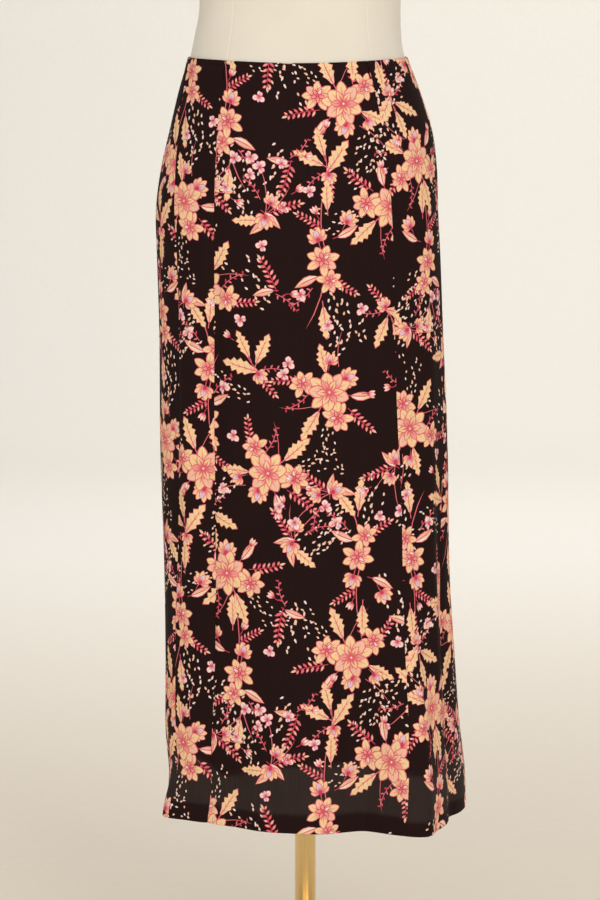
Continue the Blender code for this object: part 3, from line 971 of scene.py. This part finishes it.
def make_mesh(name, points, faces, material, normals=None, colours=None, places=None, sharp=None):
    """A mesh object; normals, colours and flat places are given for every corner of every face."""
    mesh = bpy.data.meshes.new(name)
    mesh.from_pydata(np.asarray(points).tolist(), [], [[int(n) for n in face] for face in faces])
    mesh.shade_smooth()
    if sharp is not None:
        mesh.set_sharp_from_angle(angle=math.radians(sharp))
    if places is not None:
        layer = mesh.uv_layers.new(name="OFBake")
        layer.data.foreach_set("uv", np.asarray(places, dtype=np.float32).ravel())
    if colours is not None:
        layer = mesh.color_attributes.new(name="print", type="FLOAT_COLOR", domain="CORNER")
        layer.data.foreach_set("color", np.asarray(colours, dtype=np.float32).ravel())
    if normals is not None:
        mesh.normals_split_custom_set(np.asarray(normals).reshape(-1, 3).tolist())
    mesh.materials.append(material)
    return placed(name, mesh)


def printed_panel(panel, material):
    """A printed panel: its right side cut along the print, its plain reverse, and the rim between them."""
    sheet = panel_sheet(panel)
    shapes = cloth_print(panel, sheet)
    flat, corners, tops = weld(*cut_print(sheet, shapes))
    right, right_normal = sheet.spots(flat[:, 0], flat[:, 1])
    edges = np.concatenate((corners[:, [0, 1]], corners[:, [1, 2]], corners[:, [2, 0]]))
    loop = border_loop(set(map(tuple, edges.tolist())))
    back_flat, back_corners, behind = reverse_cut(sheet, flat[loop])
    back, back_normal = sheet.spots(back_flat[:, 0], back_flat[:, 1])
    back = back - back_normal * CLOTH_THICKNESS
    count = len(right)
    outer = corners[:, ::-1]
    rim = []
    for k in range(len(loop)):
        m = (k + 1) % len(loop)
        rim += [(loop[k], loop[m], count + behind[m]), (loop[k], count + behind[m], count + behind[k])]
    rim = np.array(rim)
    points = np.concatenate((right, back))
    faces = np.concatenate((outer, back_corners + count, rim))
    normals = np.concatenate((right_normal[outer], -back_normal[back_corners], face_normals(points, rim)))
    colours = ground_colours(flat[:, 1][outer], right[outer], sheet.length)
    painted = tops >= 0
    colours[painted] = shape_colours(shapes, tops[painted], flat[outer[painted]])
    reverse = np.zeros((len(back_corners) + len(rim), 3, 4))
    reverse[..., :3] = linear(GROUND_REVERSE)
    every = np.concatenate((flat, back_flat + (REVERSE_SHIFT, 0.0)))
    places = (every[faces] + (BAKE_MARGIN_X, BAKE_MARGIN_Y)) / BAKE_SPAN
    colours = np.concatenate((colours, reverse))
    item = make_mesh(panel.name + "_cloth", points, faces, material, normals, colours, places)
    return item, sheet


def reverse_cut(sheet, border):
    """Plain triangles for the reverse, within the right side's border, and where each border point went."""
    inside = []
    for levels in row_bands(sheet):
        for k, v in enumerate(levels[:-1]):
            width = float(sheet.width_at(v))
            count = int(width / POINT_STEP)
            start = 0.5 + (STAGGER if k % 2 else -STAGGER)
            inside += [(width * ((i + start) / count - 0.5), v) for i in range(count) if -CASING_DEPTH < v]
    points = [tuple(p) for p in border]
    outline = [list(range(len(points)))]
    flat, _, triangles, sources, _, origins = delaunay_2d_cdt(points + inside, [], outline, 0, CUT_NEAR, True)
    kept = np.array([face for face, origin in zip(triangles, origins) if origin])
    behind = {source: n for n, group in enumerate(sources) for source in group}
    return np.array([tuple(v) for v in flat]), kept, behind


def face_normals(points, faces):
    a, b, c = (points[faces[:, k]] for k in range(3))
    normal = np.cross(b - a, c - a)
    length = np.maximum(np.linalg.norm(normal, axis=1, keepdims=True), 1e-12)
    return np.repeat((normal / length)[:, None, :], 3, axis=1)


# Half of the lining hangs on each side, from below the casing
LINING_HALVES = (("lining_front", "left_side", "right_side"), ("lining_back", "right_side", "left_side"))
LINING_START = 0.0115

# How far the lining's hem lies off its level at angles round the skirt
LINING_WAVE_ANGLES = (-180.0, -120.0, -76.0, -45.0, -12.0, 28.0, 47.0, 90.0, 140.0, 180.0)
LINING_WAVES = (0.002, -0.006, 0.020, -0.024, -0.006, 0.000, -0.014, 0.008, -0.008, 0.002)


def lining_hem(angle):
    return LINING_HEM + np.interp(wrapped(angle), LINING_WAVE_ANGLES, LINING_WAVES)


def lining_radius(angle, height):
    dips = np.minimum(folds_at(CREASES, angle, height), 0.0)
    return skirt_plan(angle, height) + folds_at(FOLDS, angle, height, LINING_FOLD_SHARE) + dips


def lining_level(angle, share):
    """The height at a share of the way from the lining's top to its hem."""
    start = top_height(angle) - LINING_START
    return start + (lining_hem(angle) - start) * share


def lining_half(name, first, second, material, rows=76, columns=105):
    """Half of the lining as a thin closed shell, a little clear of the skirt."""
    angle, share, _ = between_seams(first, second, lining_level, rows, columns)
    gap = LINING_GAP_TOP + (LINING_GAP_HEM - LINING_GAP_TOP) * share * share
    outer = ring_points(lining_radius, angle, lining_level(angle, share), gap)
    inner = outer - grid_normals(outer) * LINING_THICKNESS
    points, faces, places = shell(outer, inner)
    return make_mesh(name + "_cloth", points, faces, material, places=places), Sheet(outer)


def shell(outer, inner):
    """Points and faces of a closed wall between two grids, with each face's flat place."""
    rows, columns = outer.shape[:2]
    count = rows * columns
    number = np.arange(count).reshape(rows, columns)
    faces = []
    for i in range(rows - 1):
        for j in range(columns - 1):
            a, b, c, d = number[i, j], number[i + 1, j], number[i + 1, j + 1], number[i, j + 1]
            faces += [(a, b, c, d), (a + count, d + count, c + count, b + count)]
    border = [(0, j) for j in range(columns)] + [(i, columns - 1) for i in range(1, rows)]
    border += [(rows - 1, j) for j in range(columns - 2, -1, -1)] + [(i, 0) for i in range(rows - 2, 0, -1)]
    for here, there in zip(border, border[1:] + border[:1]):
        a, b = number[here], number[there]
        faces.append((a, b, b + count, a + count))
    flat = np.stack(np.meshgrid(np.linspace(0.0, 1.0, columns), np.linspace(0.0, 1.0, rows)), axis=-1)
    flat = flat.reshape(-1, 2) * LINING_SPAN
    places = np.concatenate((flat + LINING_OUTER_PLACE, flat + LINING_INNER_PLACE))
    return np.concatenate((outer.reshape(-1, 3), inner.reshape(-1, 3))), faces, places[np.array(faces)]


# The form: rings above the skirt have sections of their own, and the seat's rings follow the skirt's plan at
# an inset, tilted with its waist by a share
FormRow = namedtuple("FormRow", "height side front back square")
FORM_ROWS = (
    FormRow(1.660, 0.0440, 0.0410, 0.0440, 2.00),
    FormRow(1.657, 0.0520, 0.0490, 0.0520, 2.00),
    FormRow(1.650, 0.0550, 0.0520, 0.0550, 2.00),
    FormRow(1.610, 0.0600, 0.0540, 0.0590, 2.00),
    FormRow(1.592, 0.0730, 0.0570, 0.0660, 2.00),
    FormRow(1.576, 0.0990, 0.0620, 0.0750, 2.05),
    FormRow(1.560, 0.1300, 0.0680, 0.0840, 2.10),
    FormRow(1.542, 0.1540, 0.0750, 0.0920, 2.15),
    FormRow(1.520, 0.1670, 0.0820, 0.1000, 2.20),
    FormRow(1.490, 0.1670, 0.0930, 0.1070, 2.30),
    FormRow(1.450, 0.1590, 0.1080, 0.1090, 2.35),
    FormRow(1.400, 0.1510, 0.1220, 0.1060, 2.30),
    FormRow(1.360, 0.1450, 0.1220, 0.1020, 2.25),
    FormRow(1.300, 0.1330, 0.1060, 0.0950, 2.20),
    FormRow(1.245, 0.1215, 0.0920, 0.0880, 2.15),
    FormRow(1.209, 0.1186, 0.0870, 0.0850, 2.10),
)
FormSeat = namedtuple("FormSeat", "height tilt inset")
FORM_SEAT = (
    FormSeat(1.1720, 1.0, 0.0022),
    FormSeat(1.1520, 1.0, 0.0023),
    FormSeat(1.1425, 1.0, 0.0024),
    FormSeat(1.1390, 1.0, 0.0042),
    FormSeat(1.1130, 0.9, 0.0056),
    FormSeat(1.0660, 0.6, 0.0068),
    FormSeat(1.0190, 0.3, 0.0078),
    FormSeat(0.9720, 0.0, 0.0088),
    FormSeat(0.9250, 0.0, 0.0092),
    FormSeat(0.8950, 0.0, 0.0110),
    FormSeat(0.8750, 0.0, 0.0170),
    FormSeat(0.8620, 0.0, 0.0260),
)

# The form's points: the step in degrees round it, how many levels each step between rings is cut into, and
# the angle past which an edge is sharp
FORM_STEP = 2.5
FORM_FINE = 4
FORM_SHARP = 50.0

# The seams of the form's cover: their angles, the extra points beside each, and the groove's depth and width
FORM_SEAMS = (48.0, 132.0, 228.0, 312.0)
FORM_SEAM_STEPS = (0.0, 0.25, 0.5, 0.8, 1.2)
FORM_SEAM_DEPTH = 0.0005
FORM_SEAM_WIDTH = 0.35


def form_cover(material):
    """The covered form, with two fine seams down its front and two down its back."""
    angle = set(np.arange(0.0, 360.0, FORM_STEP))
    for seam in FORM_SEAMS:
        angle |= {(seam + side * off) % 360.0 for side in (-1.0, 1.0) for off in FORM_SEAM_STEPS}
    angle = np.array(sorted(angle))
    off = np.min([np.abs(wrapped(angle - seam)) for seam in FORM_SEAMS], axis=0)
    groove = FORM_SEAM_DEPTH * np.exp(-((off / FORM_SEAM_WIDTH) ** 2))
    rings = []
    for row in FORM_ROWS:
        rings.append((oval(angle, row.side, *row[1:]) - groove, np.full(len(angle), row.height)))
    for seat in FORM_SEAT:
        height = seat.height - WAIST_TILT * seat.tilt * np.cos(np.radians(angle))
        rings.append((skirt_plan(angle, height) - seat.inset - groove, height))
    steps = np.arange(len(rings))
    fine = np.linspace(0, len(rings) - 1, FORM_FINE * (len(rings) - 1) + 1)
    table = np.array(rings)
    radius, height = (
        np.stack([through(-steps, column, -fine) for column in table[:, k].T], axis=1) for k in range(2)
    )
    points = np.stack((*about_axis(radius, angle), height), axis=-1)
    return turned_piece("form_cover", points, material, FORM_SHARP)


def turned_piece(name, rings, material, sharp):
    """A closed piece from rings of points, top ring first, closed by a fan at each end."""
    rows, columns = rings.shape[:2]
    number = np.arange(rows * columns).reshape(rows, columns)
    points = rings.reshape(-1, 3).tolist()
    faces = []
    for i in range(rows - 1):
        for j in range(columns):
            k = (j + 1) % columns
            faces.append((number[i, j], number[i + 1, j], number[i + 1, k], number[i, k]))
    for ring, row in ((0, number[0]), (rows - 1, number[-1][::-1])):
        points.append(rings[ring].mean(axis=0).tolist())
        faces += [(row[j], row[(j + 1) % columns], len(points) - 1) for j in range(columns)]
    return make_mesh(name, points, faces, material, sharp=sharp)


# The brass stand: the sides of each piece, the angle past which an edge is sharp, and half profiles as radius
# and height, top first
POLE_SIDES = 96
BASE_SIDES = 160
BRASS_SHARP = 30.0
POLE_PROFILE = ((0.0118, 0.8617), (0.0125, 0.8610), (0.0125, 0.0350), (0.0122, 0.0343))
BASE_PROFILE = (
    (0.0172, 0.0340),
    (0.0179, 0.0336),
    (0.0180, 0.0328),
    (0.0180, 0.0215),
    (0.0184, 0.0190),
    (0.0205, 0.0160),
    (0.0240, 0.0138),
    (0.0280, 0.0125),
    (0.0340, 0.0120),
    (0.1500, 0.0120),
    (0.2065, 0.0120),
    (0.2082, 0.0116),
    (0.2094, 0.0108),
    (0.2100, 0.0094),
    (0.2100, 0.0008),
    (0.2092, 0.0000),
)


def turned_brass(name, profile, sides, material):
    """A brass piece turned about the pole's axis."""
    bearing = np.linspace(0.0, 2.0 * math.pi, sides, endpoint=False)
    x, y = np.cos(bearing), np.sin(bearing)
    rings = [np.stack((radius * x, radius * y, np.full(sides, height)), axis=1) for radius, height in profile]
    return turned_piece(name, np.array(rings), material, BRASS_SHARP)


# The two rows of stitches, in metres: how far each lies inside its turned edge, the step from one stitch to
# the next, a stitch's length, its thread's radius, and how proud of the cloth it lies
Stitching = namedtuple("Stitching", "inset pitch long radius proud")
CASING_STITCHES = Stitching(0.0008, 0.0029, 0.0023, 0.00016, 0.00008)
HEM_STITCHES = Stitching(0.0015, 0.0048, 0.0016, 0.00011, 0.00004)
STITCH_POINTS = 120


def stitch_tree(material):
    """A tree that lays small thread stitches along a curve."""
    tree = bpy.data.node_groups.new("stitches", "GeometryNodeTree")
    sockets = tree.interface
    sockets.new_socket("Geometry", in_out="INPUT", socket_type="NodeSocketGeometry")
    for name in ("Pitch", "Stitch Length", "Thread Radius"):
        sockets.new_socket(name, in_out="INPUT", socket_type="NodeSocketFloat")
    sockets.new_socket("Geometry", in_out="OUTPUT", socket_type="NodeSocketGeometry")

    def add(kind, inputs=(), **settings):
        """A node's outputs; its settings are made first, then its sockets are linked or set."""
        item = tree.nodes.new(kind)
        for key, value in settings.items():
            setattr(item, key, value)
        for key, value in dict(inputs).items():
            if isinstance(value, bpy.types.NodeSocket):
                tree.links.new(value, item.inputs[key])
            else:
                item.inputs[key].default_value = value
        return item.outputs

    given = add("NodeGroupInput")
    path = {"Curve": given["Geometry"], "Length": given["Pitch"]}
    spots = add("GeometryNodeCurveToPoints", path, mode="LENGTH")
    half = add("ShaderNodeMath", {0: given["Stitch Length"], 1: 0.5}, operation="MULTIPLY")
    radius = given["Thread Radius"]
    size = add("ShaderNodeCombineXYZ", {"X": radius, "Y": radius, "Z": half[0]})
    thread = add("GeometryNodeMeshUVSphere", {"Segments": 6, "Rings": 4, "Radius": 1.0})
    laid = {"Points": spots["Points"], "Instance": thread["Mesh"], "Rotation": spots["Rotation"]}
    stitches = add("GeometryNodeInstanceOnPoints", {**laid, "Scale": size["Vector"]})
    real = add("GeometryNodeRealizeInstances", {"Geometry": stitches["Instances"]})
    dressed = add("GeometryNodeSetMaterial", {"Geometry": real["Geometry"], "Material": material})
    add("NodeGroupOutput", {"Geometry": dressed["Geometry"]})
    return tree


def stitch_run(name, lines, tree, stitching):
    """Stitches along several lines, as one plain mesh."""
    curve = bpy.data.curves.new(name + "_path", "CURVE")
    curve.dimensions = "3D"
    for points in lines:
        spline = curve.splines.new("POLY")
        spline.points.add(len(points) - 1)
        spline.points.foreach_set("co", np.concatenate((points, np.ones((len(points), 1))), axis=1).ravel())
    path = placed(name + "_path", curve)
    modifier = path.modifiers.new("stitches", "NODES")
    modifier.node_group = tree
    sizes = {"Pitch": stitching.pitch, "Stitch Length": stitching.long, "Thread Radius": stitching.radius}
    for socket in tree.interface.items_tree:
        if socket.in_out == "INPUT" and socket.name in sizes:
            modifier[socket.identifier] = sizes[socket.name]
    mesh = bpy.data.meshes.new_from_object(path.evaluated_get(bpy.context.evaluated_depsgraph_get()))
    mesh.shade_smooth()
    bpy.data.objects.remove(path)
    return placed(name, mesh)


def stitch_line(sheet, v, proud):
    """A line along a panel at one level, just proud of its cloth."""
    x = np.linspace(-0.5, 0.5, STITCH_POINTS)[2:-2] * float(sheet.width_at(v))
    point, normal = sheet.spots(x, np.full(len(x), v))
    return point + normal * proud


class Wire:
    """One output of a material's tree. The operators on it add Math nodes."""

    def __init__(self, finish, socket):
        self.finish = finish
        self.socket = socket

    def math(self, operation, *values):
        return self.finish.node("Math", {"operation": operation}, dict(enumerate(values)))

    def __add__(self, other):
        return self.math("ADD", self, other)

    def __sub__(self, other):
        return self.math("SUBTRACT", self, other)

    def __rsub__(self, other):
        return self.math("SUBTRACT", other, self)

    def __mul__(self, other):
        return self.math("MULTIPLY", self, other)

    __radd__ = __add__
    __rmul__ = __mul__

    def sine(self):
        return self.math("SINE", self)

    def beside(self, number):
        """Another output of the same node."""
        return Wire(self.finish, self.socket.node.outputs[number])


class Finish:
    """A material being made; constants are set on its shader's own sockets."""

    def __init__(self, name, **constants):
        self.material = bpy.data.materials.new(name)
        self.material.use_nodes = True
        self.tree = self.material.node_tree
        self.shader = self.tree.nodes["Principled BSDF"]
        for key, value in constants.items():
            self.shader.inputs[key.replace("_", " ")].default_value = value

    def node(self, kind, settings=(), sockets=(), out=0):
        item = self.tree.nodes.new("ShaderNode" + kind)
        for key, value in dict(settings).items():
            setattr(item, key, value)
        for key, value in dict(sockets).items():
            if isinstance(value, Wire):
                self.tree.links.new(value.socket, item.inputs[key])
            else:
                item.inputs[key].default_value = value
        return Wire(self, item.outputs[out])

    def object_place(self):
        """Object coordinates."""
        return self.node("TexCoord", out=3)

    def noise(self, place, scale, detail=2.0):
        """Noise from 0 to 1, with one scale or one for each axis."""
        if isinstance(scale, tuple):
            place, scale = self.node("VectorMath", {"operation": "MULTIPLY"}, {0: place, 1: scale}), 1.0
        return self.node("TexNoise", {}, {"Vector": place, "Scale": scale, "Detail": detail})

    def mix(self, share, first, second, blend="MIX"):
        sockets = {0: share, 6: first, 7: second}
        return self.node("Mix", {"data_type": "RGBA", "blend_type": blend}, sockets, 2)

    def between(self, share, tones):
        """A colour between two tones, given from 0 to 255."""
        return self.mix(share, *((*linear(tone), 1.0) for tone in tones))

    def bump(self, height, distance, strength, **under):
        sockets = {"Height": height, "Distance": distance, "Strength": strength, **under}
        return self.node("Bump", {}, sockets)

    def feed(self, socket, wire):
        self.tree.links.new(wire.socket, self.shader.inputs[socket])

    def colour(self, tone, shade):
        """Feeds the base colour with a tone made lighter or darker by a number."""
        grey = self.node("CombineColor", {}, {0: shade, 1: shade, 2: shade})
        self.feed("Base Color", self.mix(1.0, tone, grey, "MULTIPLY"))


# How fine the grain of each finish is, along the axes of its place: across and down the flat cloth, and along
# X, Y and Z on the other pieces. A thread's pitch is in metres.
SLUB_GRAIN = (1100.0, 42.0, 1.0)
STREAK_GRAIN = (260.0, 9.0, 1.0)
CREPE_GRAIN = (70.0, 24.0, 1.0)
DYE_CLOUD = 26.0
THREAD_PITCH = 0.00062
TWILL_GRAIN = (900.0, 900.0, 60.0)
KNIT_GRAIN = (1500.0, 1500.0, 700.0)
COVER_CLOUD = 14.0
DRAWN_GRAIN = (900.0, 900.0, 5.0)
TURNED_GRAIN = (160.0, 160.0, 900.0)
BRASS_CLOUD = 9.0
TWIST_GRAIN = 2600.0
PAPER_GRAIN = 60.0


def cloth_finish():
    """The printed viscose: dyed ground, slightly uneven print, plain weave with slubs, a soft bloom."""
    finish = Finish("printed_viscose", Specular_IOR_Level=0.10)
    flat = finish.node("UVMap", {"uv_map": "OFBake"})
    x = finish.node("SeparateXYZ", {}, {0: flat})
    y = x.beside(1)
    printed = finish.node("VertexColor", {"layer_name": "print"})
    mask = printed.beside(1)
    slub = finish.noise(flat, SLUB_GRAIN, 3.0)
    streak = finish.noise(flat, STREAK_GRAIN, 3.0)
    cloud = finish.noise(flat, DYE_CLOUD)
    ground = 0.45 + 0.62 * slub + 0.32 * streak + 0.20 * cloud
    ink = 0.80 + 0.22 * slub + 0.14 * cloud
    finish.colour(printed, ground + mask * (ink - ground))
    finish.feed("Roughness", 0.70 + 0.16 * slub)
    threads = 2.0 * math.pi * BAKE_SPAN / THREAD_PITCH
    weave = (x * threads).sine() * (y * threads).sine()
    fine = finish.bump(weave * 0.5 + slub * 1.4, 0.00010, 0.5)
    finish.feed("Normal", finish.bump(finish.noise(flat, CREPE_GRAIN), 0.0011, 0.55, Normal=fine))
    return finish.material


def lining_finish():
    """Thin black lining with a faint twill and a dull gloss."""
    finish = Finish("lining_twill", Specular_IOR_Level=0.4)
    slub = finish.noise(finish.object_place(), TWILL_GRAIN)
    finish.feed("Base Color", finish.between(slub, LINING_TONES))
    finish.feed("Roughness", 0.46 + 0.16 * slub)
    finish.feed("Normal", finish.bump(slub, 0.00012, 0.5))
    return finish.material


def cover_finish():
    """The form's cream cover: a fine matt knit, unevenly toned."""
    finish = Finish("cream_cover", Sheen_Weight=0.15, Sheen_Roughness=0.5, Specular_IOR_Level=0.3)
    place = finish.object_place()
    cloud = finish.noise(place, COVER_CLOUD, 4.0)
    knit = finish.noise(place, KNIT_GRAIN, 1.0)
    finish.colour(finish.between(cloud, COVER_TONES), 0.93 + 0.10 * knit)
    finish.feed("Roughness", 0.66 + 0.14 * knit)
    finish.feed("Normal", finish.bump(knit, 0.00014, 0.5))
    return finish.material


def brass_finish(name, grain):
    """Brushed brass with fine lines the way it was turned or drawn, and a little handling wear."""
    finish = Finish(name, Metallic=1.0)
    place = finish.object_place()
    lines = finish.noise(place, grain, 3.0)
    cloud = finish.noise(place, BRASS_CLOUD, 4.0)
    finish.colour(finish.between(cloud, BRASS_TONES), 0.90 + 0.16 * lines)
    finish.feed("Roughness", 0.15 + 0.14 * lines + 0.08 * cloud)
    finish.feed("Normal", finish.bump(lines, 0.00008, 0.35))
    return finish.material


def thread_finish():
    """Dark matt sewing thread."""
    finish = Finish("sewing_thread", Specular_IOR_Level=0.4)
    twist = finish.noise(finish.object_place(), TWIST_GRAIN)
    finish.feed("Base Color", finish.between(twist, THREAD_TONES))
    finish.feed("Roughness", 0.5 + 0.2 * twist)
    return finish.material


def studio_finish():
    """The pale matt paper, with painted shade that makes it a little deeper in tone on the floor than on the
    backdrop.
    """
    finish = Finish("pale_paper", Specular_IOR_Level=0.1)
    place = finish.object_place()
    grain = finish.noise(place, PAPER_GRAIN, 4.0)
    away = finish.node("SeparateXYZ", {}, {0: place}, 1)
    # Painted shade: the paper turns from the deeper floor tone to the backdrop's tone going back along Y
    finish.colour(finish.between(0.28 * away - 0.15, PAPER_TONES_PAINTED_FLOOR_SHADE), 0.97 + 0.05 * grain)
    finish.feed("Roughness", 0.86 + 0.06 * grain)
    return finish.material


# The paper, in metres: how far the floor runs before, beside and behind the form, and how it turns up
FLOOR_FRONT = 12.0
FLOOR_SIDE = 12.0
FLOOR_BACK = 6.4
FLOOR_MIDDLE = 2.0
PAPER_BEND = 2.2
PAPER_TOP = 5.5
PAPER_STEPS = 16

# The studio lights: where each stands and what it faces, its width and height in metres, and its watts
Lamp = namedtuple("Lamp", "name place aim size power colour")
SKIRT_MIDDLE = (0.0, 0.0, 0.75)
WARM_WHITE = (1.0, 0.995, 0.985)
WHITE = (1.0, 1.0, 1.0)
LAMPS = (
    Lamp("key", (1.5, -3.6, 2.5), SKIRT_MIDDLE, (1.6, 2.2), 42.0, WARM_WHITE),
    Lamp("front", (-0.9, -3.5, 1.6), SKIRT_MIDDLE, (2.0, 2.0), 29.0, WARM_WHITE),
    Lamp("floor", (0.2, 2.4, 5.0), (0.1, 2.2, 0.0), (4.0, 4.0), 40.0, WHITE),
    Lamp("back", (1.8, 3.2, 5.0), (1.0, 8.6, 1.6), (6.0, 2.0), 165.0, WHITE),
)
AIR_LIGHT = 0.5


def studio_paper(material):
    """A floor that curves up into a backdrop, far enough away for a camera to pass behind the form."""
    profile = [(y, 0.0) for y in (-FLOOR_FRONT, -FLOOR_MIDDLE, 0.0, FLOOR_MIDDLE, FLOOR_BACK)]
    for step in range(1, PAPER_STEPS + 1):
        turn = math.pi / 2.0 * step / PAPER_STEPS
        profile.append((FLOOR_BACK + PAPER_BEND * math.sin(turn), PAPER_BEND * (1.0 - math.cos(turn))))
    profile.append((FLOOR_BACK + PAPER_BEND, PAPER_TOP))
    points = [(x, y, z) for y, z in profile for x in (-FLOOR_SIDE, FLOOR_SIDE)]
    faces = [(2 * i, 2 * i + 1, 2 * i + 3, 2 * i + 2) for i in range(len(profile) - 1)]
    return make_mesh("studio_paper", points, faces, material)


def soft_light(lamp):
    light = bpy.data.lights.new(lamp.name, "AREA")
    light.shape = "RECTANGLE"
    light.size, light.size_y = lamp.size
    light.energy = lamp.power
    light.color = lamp.colour
    item = placed(lamp.name, light)
    item.location = lamp.place
    item.rotation_euler = (Vector(lamp.place) - Vector(lamp.aim)).to_track_quat("Z", "Y").to_euler()
    item.visible_camera = False


def light_studio():
    world = bpy.data.worlds.new("studio_air")
    world.use_nodes = True
    air = world.node_tree.nodes["Background"]
    air.inputs["Color"].default_value = (*WHITE, 1.0)
    air.inputs["Strength"].default_value = AIR_LIGHT
    bpy.context.scene.world = world
    for lamp in LAMPS:
        soft_light(lamp)


def place_camera():
    """The camera, and a plain view transform, so that dyes show as they are given."""
    lens = bpy.data.cameras.new("camera")
    lens.lens = CAMERA_LENS
    lens.sensor_width = CAMERA_SENSOR
    lens.clip_end = CAMERA_REACH
    item = placed("camera", lens)
    item.location = CAMERA_PLACE
    item.rotation_euler = (math.radians(90.0 - CAMERA_DOWN), 0.0, 0.0)
    bpy.context.scene.camera = item
    bpy.context.scene.view_settings.view_transform = "Standard"


def take_place(piece, node):
    """Lets a piece stand in for a solid, in that solid's body."""
    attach(piece, BODY)
    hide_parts(node)


def declare_sheet(sheet):
    """Rounds the flat area of a piece of cloth that hangs from the form; the result is not kept."""
    round(sheet.flat_area(), 4)


def dress():
    place_camera()
    light_studio()
    studio_paper(studio_finish())
    pole = turned_brass("brass_pole", POLE_PROFILE, POLE_SIDES, brass_finish("drawn_brass", DRAWN_GRAIN))
    base = turned_brass("brass_base", BASE_PROFILE, BASE_SIDES, brass_finish("turned_brass", TURNED_GRAIN))
    form = form_cover(cover_finish())
    take_place(pole, "stand_pole")
    take_place(base, "stand_base")
    take_place(form, "form_torso")
    cloth = cloth_finish()
    panels = [printed_panel(panel, cloth) for panel in PANELS]
    for panel, (piece, _) in zip(PANELS, panels):
        take_place(piece, panel.name)
    tree = stitch_tree(thread_finish())
    waist, hem = [], []
    for _, sheet in panels:
        waist.append(stitch_line(sheet, CASING_DEPTH - CASING_STITCHES.inset, CASING_STITCHES.proud))
        hem.append(stitch_line(sheet, sheet.length - HEM_TURNING + HEM_STITCHES.inset, HEM_STITCHES.proud))
    for piece in (
        stitch_run("casing_stitches", waist, tree, CASING_STITCHES),
        stitch_run("hem_stitches", hem, tree, HEM_STITCHES),
    ):
        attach(piece, BODY)
    for piece, sheet in panels:
        declare_sheet(sheet)
    lining_cloth = lining_finish()
    for name, first, second in LINING_HALVES:
        piece, sheet = lining_half(name, first, second, lining_cloth)
        take_place(piece, name)
        declare_sheet(sheet)


dress()
